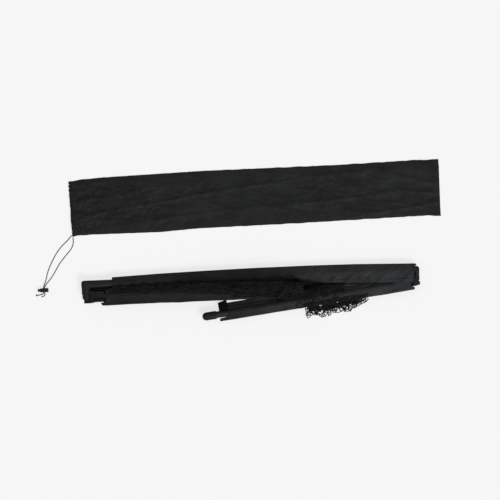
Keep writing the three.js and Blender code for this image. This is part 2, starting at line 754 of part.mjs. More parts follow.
function lockBarrel() {
  const end = cordLockX + lockBarrelLength;
  const place = (x) => at(x, cordLockY, lockAxisHeight);
  const bore = lockBarrelDiameter / 2 - lockWall;
  return cutBy(
    rod(place(cordLockX), place(end), lockBarrelDiameter / 2),
    rod(place(cordLockX - overrun), place(end - lockWall), bore),
    cordSlot(),
  );
}

function cordSlot() {
  const start = cordLockX + lockCordSlotFromEnd;
  const half = cordDiameter / 2 + gap;
  const side = lockBarrelDiameter;
  return block(start, start + lockCordSlotLength, cordLockY - side, cordLockY + side,
    lockAxisHeight - half, lockAxisHeight + half);
}

function lockButton() {
  const radius = lockBarrelDiameter / 2 - lockWall - gap;
  const place = (x) => at(x, cordLockY, lockAxisHeight);
  return cutBy(rod(place(cordLockX - lockButtonOut), place(cordLockX + lockButtonIn), radius), cordSlot());
}

function lockSpring() {
  const start = cordLockX + lockButtonIn + gap;
  const end = cordLockX + lockBarrelLength - lockWall - gap;
  const diameter = lockBarrelDiameter - lockWall * 2 - gap * 4;
  return springAlongY(start, end, diameter, lockSpringWire, lockSpringTurns)
    .applyMatrix4(new THREE.Matrix4().makeBasis(at(0, -1, 0), at(1, 0, 0), at(0, 0, 1)))
    .translate(0, cordLockY, lockAxisHeight);
}

function cordKnot() {
  return new THREE.SphereGeometry(cordKnotDiameter / 2, smallSides, smallSides / 2)
    .translate(tailKnotX, tailKnotY, cordKnotDiameter / 2);
}

// Finishes, and placing

const looks = {
  blackPlastic: { color: 0x1b1c1e, roughness: 0.55, metalness: 0 },
  blackPaint: { color: 0x202225, roughness: 0.4, metalness: 0.2 },
  steel: { color: 0x9a9ca0, roughness: 0.35, metalness: 1 },
  cloth: { color: 0x2c2e32, roughness: 0.75, metalness: 0 },
  net: { color: 0x17181a, roughness: 0.9, metalness: 0 },
};

function piece(name, look, geometry) {
  const mesh = new THREE.Mesh(geometry, new THREE.MeshStandardMaterial(looks[look]));
  mesh.name = name;
  return mesh;
}

const model = new THREE.Group();

function crossbarPieces(goal) {
  goal.add(piece('crossbar_tube', 'blackPaint', crossbarTube()));
  goal.add(piece('crossbar_sleeve', 'cloth', crossbarSleeve()));
  [
    ['left', -1, -1, -leftCantAngle, leftLipOut],
    ['right', 1, 1, 0, rightLipOut],
  ].forEach(([name, side, slotFace, cant, lipOut]) => {
    const corner = new THREE.Group();
    corner.position.set(side * pinX, 0, 0);
    corner.add(piece(`${name}_elbow`, 'blackPlastic', elbow(side, slotFace, cant, lipOut)));
    corner.add(piece(`${name}_elbow_rivet`, 'steel', elbowRivet(side)));
    corner.add(piece(`${name}_lock_bolt`, 'steel', lockBolt(slotFace)));
    corner.add(piece(`${name}_lock_spring`, 'steel', springAlongY(
      -clevisTop + boltLength + gap / 2, lockBoreTop - gap, springDiameter, springWire, springTurns)));
    const length = elbowRadius - gap;
    const pin = piece(`${name}_hinge_pin`, 'steel',
      rod(at(0, 0, -length), at(0, 0, length), pinDiameter / 2, smallSides));
    pin.position.set(0, -pinDrop, 0);
    pin.rotation.y = cant;
    corner.add(pin);
    goal.add(corner);
  });
}

function post(name, heelSide, heel, sleeve) {
  const group = new THREE.Group();
  group.add(piece(`${name}_post_fitting`, 'blackPlastic', postFitting(heelSide, heel)));
  group.add(piece(`${name}_post_tube`, 'blackPaint', postTube()));
  group.add(piece(`${name}_post_sleeve`, 'cloth', sleeve));
  group.add(piece(`${name}_foot_cap`, 'blackPlastic', footCap()));
  group.add(piece(`${name}_foot_block`, 'blackPlastic', footBlock()));
  group.add(piece(`${name}_foot_rivet`, 'steel', blockRivet()));
  group.add(piece(`${name}_runner_pin`, 'steel', runnerPin()));
  group.add(piece(`${name}_runner_rod`, 'blackPaint', runnerRod()));
  group.add(piece(`${name}_runner_cap`, 'blackPlastic', runnerCap()));
  group.add(piece(`${name}_post_rivet`, 'steel', rivet(neckEnd + postRivetIn, -gap * 2, -postDiameter / 2)));
  return group;
}

const goal = new THREE.Group();
goal.position.z = axisHeight;
crossbarPieces(goal);

const leftPost = post('left', -1, true,
  postSleeve(postSleeveLeftStart, postSleeveLeftStart + gap, leftFlapFar, leftFlapFar, 0, leftFlapTip));
leftPost.position.set(-pinX, -pinDrop, 0);
leftPost.rotation.y = -leftCantAngle;
goal.add(leftPost);

const rightPost = post('right', 1, false,
  postSleeve(postSleeveRightStart, rightFlapFullAt, rightFlapAtHinge, postFlapFar, flapTipAtHinge, 0));
rightPost.position.set(pinX, -pinDrop, 0);
rightPost.rotation.z = Math.PI + rightOpenAngle;
goal.add(rightPost);
model.add(goal);

model.add(piece('net_roll', 'net', netRoll()));
model.add(piece('net_spill', 'net', netSpill()));
model.add(piece('carry_bag', 'cloth', carryBag()));

// The origin is under the middle of everything but the loose cord and what is on it
const footprint = new THREE.Box3().setFromObject(model, true);
const middle = footprint.getCenter(at(0, 0, 0));

model.add(piece('draw_cord_upper', 'net', cord(upperCordRoute, cordSteps)));
model.add(piece('draw_cord_lower', 'net', cord(lowerCordRoute, cordSteps)));
model.add(piece('cord_tail_upper', 'net', cord(upperTailRoute, tailSteps)));
model.add(piece('cord_tail_lower', 'net', cord(lowerTailRoute, tailSteps)));
model.add(piece('cord_lock_barrel', 'blackPlastic', lockBarrel()));
model.add(piece('cord_lock_button', 'blackPlastic', lockButton()));
model.add(piece('cord_lock_spring', 'steel', lockSpring()));
model.add(piece('cord_knot', 'net', cordKnot()));
model.position.set(-middle.x, -middle.y, 0);

export default model;
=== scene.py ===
# A folding floorball goal, folded flat, with its carry bag laid beside it, seen from straight above.
# Metres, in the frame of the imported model. Places are written in millimetres from the middle of the
# crossbar's axis, with heights from the ground, and at() turns them into the model's frame.

import math

import bmesh
import bpy
import numpy as np
from mathutils import Matrix, Vector
from mathutils.bvhtree import BVHTree


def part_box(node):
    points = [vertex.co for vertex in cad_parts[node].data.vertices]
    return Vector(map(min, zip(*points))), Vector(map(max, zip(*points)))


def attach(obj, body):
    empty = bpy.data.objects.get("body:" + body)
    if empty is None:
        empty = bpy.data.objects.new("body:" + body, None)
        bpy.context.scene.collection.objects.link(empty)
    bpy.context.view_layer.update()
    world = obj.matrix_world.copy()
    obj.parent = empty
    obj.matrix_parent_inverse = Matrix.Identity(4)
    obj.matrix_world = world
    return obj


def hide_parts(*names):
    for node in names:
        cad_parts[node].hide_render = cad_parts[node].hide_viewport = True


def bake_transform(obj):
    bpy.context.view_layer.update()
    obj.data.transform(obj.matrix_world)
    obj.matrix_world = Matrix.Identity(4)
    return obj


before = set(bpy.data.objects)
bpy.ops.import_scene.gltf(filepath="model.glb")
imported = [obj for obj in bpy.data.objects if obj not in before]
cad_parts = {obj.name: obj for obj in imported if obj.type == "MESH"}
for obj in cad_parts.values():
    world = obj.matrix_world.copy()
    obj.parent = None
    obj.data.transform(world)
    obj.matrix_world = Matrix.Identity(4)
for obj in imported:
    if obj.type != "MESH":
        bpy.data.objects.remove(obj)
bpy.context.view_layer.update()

MM = 0.001
X, Y, Z = range(3)
scene = bpy.context.scene


# Places

tube_low, tube_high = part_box("crossbar_tube")
middle = (Vector(tube_low) + Vector(tube_high)) / 2
axis_height = middle.z / MM


def at(x, y, z):
    """A point in the model's frame, from millimetres on the goal."""
    return Vector((middle.x + x * MM, middle.y + y * MM, z * MM))


def places(points):
    """The same for an array of points."""
    return np.asarray(points, float) * MM + np.array([middle.x, middle.y, 0.0])


def extent(node_name):
    """The low and high corner of a node's box, in millimetres on the goal, to a hundredth."""
    origin = Vector((middle.x, middle.y, 0))
    return [[round(value / MM, 2) for value in corner - origin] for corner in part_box(node_name)]


def reading(x, table):
    """What a list of places, each with its value, says at x."""
    return np.interp(x, *zip(*table))


# Camera

frame_width = 1.3335
camera_distance = 4.0
view_depth = 50.0
aim = at(2.5, 73.0, axis_height)
goal_tilt = math.radians(2.55)
sensor_width = 36.0

camera_data = bpy.data.cameras.new("camera")
camera_data.sensor_width = sensor_width
camera_data.lens = sensor_width * camera_distance / frame_width
camera_data.clip_end = view_depth
camera = bpy.data.objects.new("camera", camera_data)
camera.location = aim + Vector((0, 0, camera_distance))
camera.rotation_euler = (0, 0, -goal_tilt)
scene.collection.objects.link(camera)
scene.camera = camera


# Noise and folds

wave_count = 28
wave_lengths = (0.7, 1.4)
wave_size = 1.3


def waves(x, y, seed, wavelength, angle=0.0, spread=math.pi, depth=1.0, octaves=3):
    """Smooth seeded noise about as high as depth: waves whose crests lie near one angle."""
    rng = np.random.default_rng(seed)
    total = np.zeros(np.broadcast(x, y).shape)
    for octave in range(octaves):
        for _ in range(wave_count):
            turn = angle + math.pi / 2 + rng.uniform(-spread, spread)
            length = wavelength * rng.uniform(*wave_lengths) / 2 ** octave
            phase = rng.uniform(0, 2 * math.pi)
            along = x * math.cos(turn) + y * math.sin(turn)
            total = total + np.cos(2 * math.pi * along / length + phase) / 2 ** octave
    return total * math.sqrt(2 / wave_count) / wave_size * depth


def ripples(along, seed, wavelength, depth):
    """Noise that changes along one direction only."""
    return waves(along, along * 0, seed, wavelength, angle=math.pi / 2, spread=0.1, depth=depth)


def creases(x, y, seed, wavelength, angle=0.0, spread=math.pi, depth=1.0, sharpness=1.6):
    """Folds with crests sharper than their valleys, from 0 to depth."""
    field = waves(x, y, seed, wavelength, angle, spread, octaves=2)
    return np.exp(-(field * sharpness) ** 2) * depth


def bead(distance, width, height):
    """A rounded ridge, such as a hem. Taken off a surface, it leaves a stitched groove."""
    return np.exp(-(distance / width) ** 2) * height


def smooth(edge0, edge1, value):
    """0 up to the first edge, 1 from the second, and an eased step between them."""
    share = np.clip((value - edge0) / (edge1 - edge0), 0.0, 1.0)
    return share * share * (3 - 2 * share)


# Meshes

tiny = 1e-9


def new_object(name, vertices, faces, made_of):
    mesh = bpy.data.meshes.new(name)
    mesh.from_pydata(np.reshape(vertices, (-1, 3)).tolist(), [], faces)
    mesh.validate()
    mesh.update()
    mesh.polygons.foreach_set("use_smooth", [True] * len(mesh.polygons))
    mesh.materials.append(made_of)
    obj = bpy.data.objects.new(name, mesh)
    scene.collection.objects.link(obj)
    return obj


def grid_faces(rows, columns, closed=False):
    """Faces of a sheet of rows x columns points, closed round the columns if asked."""
    faces = []
    across = columns if closed else columns - 1
    for row in range(rows - 1):
        for column in range(across):
            a = row * columns + column
            b = row * columns + (column + 1) % columns
            faces.append((a, b, b + columns, a + columns))
    return faces


def give_thickness(obj, thickness, offset=-1.0):
    solid = obj.modifiers.new("cloth", "SOLIDIFY")
    solid.thickness = thickness
    solid.offset = offset
    solid.use_even_offset = False


def smooth_line(points, per_span=6):
    """Centripetal Catmull-Rom through the points."""
    points = np.asarray(points, float)
    ends = np.vstack([2 * points[0] - points[1], points, 2 * points[-1] - points[-2]])
    line = []
    for p0, p1, p2, p3 in zip(ends, ends[1:], ends[2:], ends[3:]):
        t1 = np.linalg.norm(p1 - p0) ** 0.5
        t2 = t1 + np.linalg.norm(p2 - p1) ** 0.5
        t3 = t2 + np.linalg.norm(p3 - p2) ** 0.5
        for t in np.linspace(t1, t2, per_span, endpoint=False):
            a1 = (t1 - t) / t1 * p0 + t / t1 * p1
            a2 = (t2 - t) / (t2 - t1) * p1 + (t - t1) / (t2 - t1) * p2
            a3 = (t3 - t) / (t3 - t2) * p2 + (t - t2) / (t3 - t2) * p3
            b1 = (t2 - t) / t2 * a1 + t / t2 * a2
            b2 = (t3 - t) / (t3 - t1) * a2 + (t - t1) / (t3 - t1) * a3
            line.append((t2 - t) / (t2 - t1) * b1 + (t - t1) / (t2 - t1) * b2)
    line.append(points[-1])
    return np.array(line)


def run_along(line):
    """How far each point of a line is from its start, measured along it."""
    return np.concatenate([[0], np.cumsum(np.linalg.norm(np.diff(line, axis=0), axis=1))])


def tube_rings(line, radius, sides, reference):
    """Rings of points round a line, which never runs along the reference."""
    tangent = np.gradient(line, axis=0)
    tangent /= np.maximum(np.linalg.norm(tangent, axis=1), tiny)[:, None]
    side = np.cross(tangent, reference)
    side /= np.maximum(np.linalg.norm(side, axis=1), tiny)[:, None]
    up = np.cross(side, tangent)
    angle = np.linspace(0, 2 * math.pi, sides, endpoint=False)
    return line[:, None] + radius * (np.cos(angle)[None, :, None] * side[:, None]
                                     + np.sin(angle)[None, :, None] * up[:, None])


def tube_mesh(name, line, diameter, made_of, sides=10, reference=(0, 0, 1)):
    """A round tube along a line in metres, closed at both ends."""
    vertices = tube_rings(line, diameter / 2, sides, reference).reshape(-1, 3)
    faces = grid_faces(len(line), sides, closed=True)
    faces.append(tuple(reversed(range(sides))))
    faces.append(tuple(range(len(vertices) - sides, len(vertices))))
    return new_object(name, vertices, faces, made_of)


# Parts of materials

def material(name, color, roughness, metallic=0.0, specular=0.5):
    made = bpy.data.materials.new(name)
    made.use_nodes = True
    shader = made.node_tree.nodes["Principled BSDF"]
    shader.inputs["Base Color"].default_value = (*color, 1)
    shader.inputs["Roughness"].default_value = roughness
    shader.inputs["Metallic"].default_value = metallic
    shader.inputs["Specular IOR Level"].default_value = specular
    return made, made.node_tree, shader


def grey(value):
    return (value, value, value)


def tinted(color, share):
    return tuple(channel * share for channel in color)


def feed(tree, socket, value):
    """Links another node's output to a socket, or sets the socket to a plain value."""
    if isinstance(value, bpy.types.NodeSocket):
        tree.links.new(value, socket)
    else:
        socket.default_value = value


def add_node(tree, kind, **inputs):
    node = tree.nodes.new(kind)
    for name, value in inputs.items():
        feed(tree, node.inputs[name], value)
    return node


def texture_place(tree, turn=0.0, scale=(1, 1, 1)):
    place = tree.nodes.new("ShaderNodeTexCoord").outputs["Object"]
    mapping = add_node(tree, "ShaderNodeMapping", Vector=place, Rotation=(0, 0, turn), Scale=scale)
    return mapping.outputs["Vector"]


def noise(tree, place, scale, detail=3.0, roughness=0.55, distortion=0.0):
    """A noise texture. Its scale says about how many lumps there are in a metre."""
    node = add_node(tree, "ShaderNodeTexNoise", Vector=place, Scale=scale, Detail=detail,
                    Roughness=roughness, Distortion=distortion)
    return node.outputs["Fac"]


threads_at_scale_one = 6.5


def threads(tree, place, direction, pitch, distortion):
    """Bands across a direction, two threads to a band, with this pitch in metres between threads."""
    node = add_node(tree, "ShaderNodeTexWave", Vector=place, Scale=1 / pitch / threads_at_scale_one,
                    Distortion=distortion)
    node.bands_direction = direction
    return node.outputs["Fac"]


def math_node(tree, operation, a, b):
    node = tree.nodes.new("ShaderNodeMath")
    node.operation = operation
    for socket, value in zip(node.inputs, (a, b)):
        feed(tree, socket, value)
    return node.outputs["Value"]


def color_mix(tree, blend_type="MIX"):
    node = tree.nodes.new("ShaderNodeMix")
    node.data_type = "RGBA"
    node.blend_type = blend_type
    return node


def ramp(tree, factor, stops):
    node = tree.nodes.new("ShaderNodeValToRGB")
    elements = node.color_ramp.elements
    while len(elements) < len(stops):
        elements.new(0.5)
    for element, (place, color) in zip(elements, stops):
        element.position = place
        element.color = (*color, 1)
    tree.links.new(factor, node.inputs["Fac"])
    return node.outputs["Color"]


def varied(tree, factor, color, low, high, edges=(0.3, 0.7)):
    """The colour times low up to the factor's first edge, times high from its second, a blend between."""
    return ramp(tree, factor, [(edges[0], tinted(color, low)), (edges[1], tinted(color, high))])


def uneven(tree, factor, value, less, more):
    """A value that wanders from less below it to more above it."""
    return ramp(tree, factor, [(0.3, grey(value - less)), (0.7, grey(value + more))])


def along_goal(tree, place, color, painted_light):
    """The colour multiplied by shares that change along the goal: painted light and shade, darker at one end
    and brighter at the other.
    """
    split = tree.nodes.new("ShaderNodeSeparateXYZ")
    tree.links.new(place, split.inputs["Vector"])
    low, high = at(painted_light[0][0], 0, 0).x, at(painted_light[-1][0], 0, 0).x
    run = math_node(tree, "DIVIDE", math_node(tree, "SUBTRACT", split.outputs["X"], low), high - low)
    top = max(share for _, share in painted_light)
    stops = [((at(x, 0, 0).x - low) / (high - low), grey(share / top)) for x, share in painted_light]
    mix = color_mix(tree, "MULTIPLY")
    mix.inputs["Factor"].default_value = 1.0
    tree.links.new(color, mix.inputs["A"])
    tree.links.new(ramp(tree, run, stops), mix.inputs["B"])
    return mix.outputs["Result"]


def bump(tree, shader, *layers):
    """Each layer is a height and its depth in metres; the last layer is the finest."""
    normal = None
    for height, depth in layers:
        node = add_node(tree, "ShaderNodeBump", Height=height, Distance=depth, Strength=1.0)
        if normal is not None:
            tree.links.new(normal, node.inputs["Normal"])
        normal = node.outputs["Normal"]
    tree.links.new(normal, shader.inputs["Normal"])


def paint(tree, shader, color, roughness):
    feed(tree, shader.inputs["Base Color"], color)
    feed(tree, shader.inputs["Roughness"], roughness)


# Materials

weave_pitch = 0.0005
cloth_crinkle = 0.0012
cloth_roughness = 0.62
cloth_sheen = 0.03


def cloth(name, color, painted_light):
    """Coated plain weave: threads, uneven crinkles, faint change of tone, and a dull sheen.

    The last argument lists places along the goal and the share of the colour that is there: painted light
    and shade, darker towards -X and brighter towards +X."""
    made, tree, shader = material(name, color, cloth_roughness, specular=0.16)
    place = texture_place(tree)
    slanted = texture_place(tree, turn=math.radians(38), scale=(1, 2.6, 1))
    brightest = max(share for _, share in painted_light)
    tone = varied(tree, noise(tree, place, scale=16, detail=5), color, 0.62 * brightest, 1.38 * brightest)
    gloss = uneven(tree, noise(tree, place, scale=60), cloth_roughness, less=0.08, more=0.1)
    paint(tree, shader, along_goal(tree, place, tone, painted_light), gloss)
    folds = noise(tree, slanted, scale=34, roughness=0.5, distortion=0.6)
    fine = noise(tree, place, scale=150)
    warp, weft = (threads(tree, place, direction, weave_pitch, distortion=0.4) for direction in "XY")
    weave = math_node(tree, "MULTIPLY", warp, weft)
    bump(tree, shader, (folds, cloth_crinkle), (fine, cloth_crinkle * 0.16), (weave, weave_pitch * 0.12))
    shader.inputs["Sheen Weight"].default_value = cloth_sheen
    shader.inputs["Sheen Roughness"].default_value = 0.45
    return made


def plastic(name, color, roughness, specular, grain=0.00003):
    """Moulded plastic: fine grain, with paler rubbed edges and a little dust in the tone."""
    made, tree, shader = material(name, color, roughness, specular=specular)
    place = texture_place(tree)
    geometry = tree.nodes.new("ShaderNodeNewGeometry")
    rubbed = ramp(tree, geometry.outputs["Pointiness"], [(0.5, grey(0)), (0.6, grey(1))])
    dusty = varied(tree, noise(tree, place, scale=28, detail=4), color, 0.85, 1.15)
    mix = color_mix(tree)
    tree.links.new(rubbed, mix.inputs["Factor"])
    tree.links.new(dusty, mix.inputs["A"])
    mix.inputs["B"].default_value = (*tinted(color, 1.7), 1)
    gloss = uneven(tree, noise(tree, place, scale=90), roughness, less=0.07, more=0.08)
    paint(tree, shader, mix.outputs["Result"], gloss)
    bump(tree, shader, (noise(tree, place, scale=900, detail=2), grain))
    return made


def painted_metal(name, color):
    """Powder coat: orange-peel skin, scuffs that shine a little more."""
    shiny, dull = 0.34, 0.5
    made, tree, shader = material(name, color, (shiny + dull) / 2, specular=0.26)
    place = texture_place(tree)
    scuffs = noise(tree, texture_place(tree, scale=(1, 6, 6)), scale=45, detail=4, roughness=0.7)
    tone = varied(tree, noise(tree, place, scale=30), color, 0.9, 1.15)
    paint(tree, shader, tone, ramp(tree, scuffs, [(0.35, grey(shiny)), (0.6, grey(dull))]))
    bump(tree, shader, (noise(tree, place, scale=420, detail=2), 0.00004))
    return made


def steel(name, color, roughness):
    """Bare drawn steel."""
    made, tree, shader = material(name, color, roughness, metallic=1.0)
    place = texture_place(tree, scale=(1, 1, 30))
    drawn = noise(tree, place, scale=60, detail=4, roughness=0.7)
    tone = varied(tree, noise(tree, place, scale=20), color, 0.8, 1.05)
    paint(tree, shader, tone, uneven(tree, drawn, roughness, less=0.1, more=0.15))
    bump(tree, shader, (drawn, 0.00002))
    return made


def braid(name, color, pitch):
    """Round braided twine or cord: strands crossing at a slant."""
    made, tree, shader = material(name, color, roughness=0.8, specular=0.12)
    place = texture_place(tree)
    slant = math.radians(45)
    rising, falling = (threads(tree, texture_place(tree, turn), "X", pitch, distortion=1.0)
                       for turn in (slant, -slant))
    height = math_node(tree, "MAXIMUM", rising, falling)
    # Painted light and shade: the colour is lighter on the crests of the strands and darker in the grooves
    # between them, with random tone from the noise.
    lit = math_node(tree, "MULTIPLY", height, noise(tree, place, scale=90, detail=2))
    tree.links.new(varied(tree, lit, color, 0.45, 2.0, edges=(0.15, 0.6)), shader.inputs["Base Color"])
    bump(tree, shader, (noise(tree, place, scale=700), pitch * 0.1), (height, pitch * 0.25))
    return made


# Painted light and shade along the goal: shares of each cloth's colour, darker towards -X and brighter
# towards +X, where more light falls.
sleeve_painted_light = ((-440, 0.66), (-250, 0.74), (0, 1.08), (150, 1.4), (320, 1.9), (440, 1.9))
bag_painted_light = ((-480, 0.82), (-200, 0.96), (100, 1.0), (520, 1.02))
sleeve_cloth = cloth("sleeve_cloth", (0.0108, 0.0113, 0.0118), sleeve_painted_light)
bag_cloth = cloth("bag_cloth", (0.0100, 0.0105, 0.0110), bag_painted_light)
net_twine = braid("net_twine", (0.0088, 0.0092, 0.0096), pitch=0.0009)
cord_braid = braid("draw_cord", (0.0040, 0.0042, 0.0045), pitch=0.0011)
elbow_plastic = plastic("elbow_plastic", (0.0062, 0.0064, 0.0066), roughness=0.5, specular=0.15)
fitting_plastic = plastic("fitting_plastic", (0.0055, 0.0057, 0.0059), roughness=0.45, specular=0.14)
foot_plastic = plastic("foot_plastic", (0.0076, 0.0078, 0.0081), roughness=0.55, specular=0.14)
block_plastic = plastic("block_plastic", (0.0012, 0.0013, 0.0014), roughness=0.7, specular=0.06)
lock_plastic = plastic("lock_plastic", (0.006, 0.0062, 0.0065), roughness=0.32, specular=0.22, grain=0.00001)
frame_paint = painted_metal("frame_paint", (0.0075, 0.0078, 0.0082))
pin_steel = steel("pin_steel", (0.03, 0.03, 0.032), roughness=0.42)
spring_steel = steel("spring_steel", (0.16, 0.16, 0.17), roughness=0.35)


# The draw cord

cord_diameter = 2.4

upper_cord_route = [
    (-471.9, 132.2, 1.8), (-474.5, 131, 1.5), (-481, 124, 1.3), (-489, 116, 1.3), (-500, 106, 1.3),
    (-512, 92, 1.3), (-520, 80, 1.3), (-528, 66, 1.3), (-536, 50, 1.3), (-542, 35, 1.3), (-546, 20, 1.5),
    (-550, 8, 3), (-553.4, -1, 5.5), (-554, -4.2, 5.5), (-554, -16, 5.5), (-554.1, -17.6, 5.3),
    (-556.5, -20, 3.6), (-563, -22, 2.5), (-570.2, -22.8, 2.5),
]
lower_cord_route = [
    (-469.8, 127.7, 1.6), (-469.3, 124.5, 1.3), (-469, 117, 1.3), (-472, 104, 1.3), (-480, 92, 1.3),
    (-490, 81, 1.3), (-501, 68, 1.3), (-511, 55, 1.3), (-519, 42, 1.3), (-528, 28, 1.3), (-538, 15, 1.5),
    (-546, 6, 3), (-550.4, -1, 5.5), (-551, -4.2, 5.5), (-551, -16, 5.5), (-550.9, -17.6, 5.2),
    (-551, -20.6, 2.8), (-554, -25.5, 1.4), (-561, -27.5, 1.3),
]

cord_pieces = [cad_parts[name] for name in ("cord_lock_barrel", "cord_lock_button", "cord_knot")]
for name, route, far_end, with_pieces in (("upper", upper_cord_route, "knot", cord_pieces),
                                          ("lower", lower_cord_route, "bare", [])):
    line = places(smooth_line(route))
    piece = tube_mesh(f"draw_cord_{name}_braid", line, cord_diameter * MM, cord_braid)
    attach(piece, "bag")
    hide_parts(f"draw_cord_{name}", f"cord_tail_{name}")


# Floor and light

floor_half = 12
backdrop_share = 0.78
daylight = (0.97, 0.98, 1.0, 1)
daylight_strength = 0.36

floor_paint, floor_tree, floor_shader = material("floor", grey(0.95), 0.9, specular=0.0)
seen = floor_tree.nodes.new("ShaderNodeLightPath")
backdrop = add_node(floor_tree, "ShaderNodeEmission", Color=(*grey(0.93), 1))
floor_share = math_node(floor_tree, "MULTIPLY", seen.outputs["Is Camera Ray"], backdrop_share)
floor_mix = add_node(floor_tree, "ShaderNodeMixShader", Fac=floor_share)
floor_tree.links.new(floor_shader.outputs["BSDF"], floor_mix.inputs[1])
floor_tree.links.new(backdrop.outputs["Emission"], floor_mix.inputs[2])
floor_tree.links.new(floor_mix.outputs["Shader"], floor_tree.nodes["Material Output"].inputs["Surface"])
floor_corners = [(floor_half * a, floor_half * b, 0) for a, b in ((-1, -1), (1, -1), (1, 1), (-1, 1))]
floor = new_object("floor", floor_corners, [(0, 1, 2, 3)], floor_paint)

world = bpy.data.worlds.new("studio")
world.use_nodes = True
world.node_tree.nodes["Background"].inputs["Color"].default_value = daylight
world.node_tree.nodes["Background"].inputs["Strength"].default_value = daylight_strength
scene.world = world
scene.view_settings.view_transform = "Standard"


def sun(name, azimuth, elevation, strength, softness):
    """Light from a compass side, counted from +X towards +Y, at a height in degrees."""
    data = bpy.data.lights.new(name, "SUN")
    data.energy = strength
    data.angle = math.radians(softness)
    lamp = bpy.data.objects.new(name, data)
    a, e = math.radians(azimuth), math.radians(elevation)
    towards = Vector((math.cos(a) * math.cos(e), math.sin(a) * math.cos(e), math.sin(e)))
    lamp.rotation_euler = towards.to_track_quat("Z", "Y").to_euler()
    scene.collection.objects.link(lamp)


sun("key", azimuth=-55, elevation=46, strength=2.0, softness=22)
sun("fill", azimuth=120, elevation=60, strength=0.5, softness=60)


# Moulded and metal pieces: the finish of each kind of node, and how far its edges are rounded, in metres

finishes = {
    "elbow": (elbow_plastic, 0.0012),
    "fitting": (fitting_plastic, 0.0008),
    "foot_cap": (foot_plastic, 0.0004),
    "foot_block": (block_plastic, 0.0008),
    "runner_cap": (foot_plastic, 0.0006),
    "runner_rod": (frame_paint, 0),
    "tube": (frame_paint, 0),
    "rivet": (pin_steel, 0.0003),
    "pin": (pin_steel, 0.0004),
    "bolt": (pin_steel, 0.0004),
    "barrel": (lock_plastic, 0.0005),
    "button": (lock_plastic, 0.0006),
    "knot": (cord_braid, 0),
}
same_point = 0.00001
sharp_edge = math.radians(38)


def dress(node_name, finish, edge):
    """Gives a CAD node its material, its rounded edges and its shading."""
    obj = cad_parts[node_name]
    obj.data.materials.clear()
    obj.data.materials.append(finish)
    weld = obj.modifiers.new("weld", "WELD")
    weld.merge_threshold = same_point
    if edge:
        rounding = obj.modifiers.new("edges", "BEVEL")
        rounding.width = edge
        rounding.segments = 3
        rounding.limit_method = "ANGLE"
        rounding.angle_limit = sharp_edge
        rounding.harden_normals = False
    shading = obj.modifiers.new("shade", "EDGE_SPLIT")
    shading.split_angle = sharp_edge
    obj.data.polygons.foreach_set("use_smooth", [True] * len(obj.data.polygons))


for node_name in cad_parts:
    kinds = [kind for kind in finishes if node_name.endswith(kind)]
    if kinds:
        dress(node_name, *finishes[max(kinds, key=len)])


# Springs, coiled in their nodes' places

lock_spring_wire, lock_spring_turns = 0.9, 5
cord_lock_spring_wire, cord_lock_spring_turns = 0.8, 3
spring_steps = 16
spring_sides = 8


def spring(node_name, along, wire, turns):
    """A coil in its node's place, wound along one axis."""
    low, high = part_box(node_name)
    first, second = (axis for axis in range(3) if axis != along)
    centre = (low + high) / 2
    radius = (high[first] - low[first] - wire) / 2
    angle = np.linspace(0, 2 * math.pi * turns, turns * spring_steps + 1)
    line = np.tile(np.array(centre), (len(angle), 1))
    line[:, along] = np.linspace(low[along] + wire / 2, high[along] - wire / 2, len(angle))
    line[:, first] += radius * np.cos(angle)
    line[:, second] += radius * np.sin(angle)
    obj = tube_mesh(f"{node_name}_wire", line, wire, spring_steel, spring_sides, np.eye(3)[along])
    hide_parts(node_name)
    start, end = centre.copy(), centre.copy()
    start[along], end[along] = high[along], low[along]
    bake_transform(obj)


for side_name in ("left", "right"):
    spring(f"{side_name}_lock_spring", Y, lock_spring_wire * MM, lock_spring_turns)
spring("cord_lock_spring", X, cord_lock_spring_wire * MM, cord_lock_spring_turns)


# Cloth on the posts: places along the post from its hinge, across it, and up from its axis

pin_low, pin_high = extent("right_hinge_pin")
pin_x = (pin_low[X] + pin_high[X]) / 2
pin_drop = -(pin_low[Y] + pin_high[Y]) / 2
left_lean, right_open = 4.8, 6.75


def post_frame(side, lean_degrees, open_degrees):
    """Turns a post's own millimetres into metres on the goal."""
    lean = Matrix.Rotation(math.radians(lean_degrees), 3, "Y")
    rows = np.array(Matrix.Rotation(math.radians(open_degrees), 3, "Z") @ lean)
    hinge = np.array([side * pin_x, -pin_drop, axis_height])
    return lambda points: places(np.asarray(points) @ rows.T + hinge)


left_frame = post_frame(-1, -left_lean, 0)
right_frame = post_frame(1, 0, 180 + right_open)

post_tube_low, post_tube_high = extent("right_post_tube")
cloth_room = 1.4
tube_round = (post_tube_high[Z] - post_tube_low[Z]) / 2 + cloth_room
bend_share = 0.86
fitting_half, fitting_height, fitting_corners = 17.6, 10.6, 6
fitting_end = (46, 78)
edge_height = 0.9
near_flap = 18.5
left_far_flap, right_far_flap = 24.0, 27.0
right_far_start, right_far_widens = 17.5, (14, 150)
sleeve_sides = 96
sleeve_step = 3.0
sleeve_end = 505
loose_cloth = (7.0, 14.0)
near_tip, far_tip, far_tip_taper = (8.5, 11.5), (14.5, 17.5), (18, 25)
near_sag, far_sag = 0.7, 1.4
near_sagging, far_sagging, edge_wander = (9.0, 18.0), (9.0, 26.0), (12, 24)
start_run, end_run = 45, 60


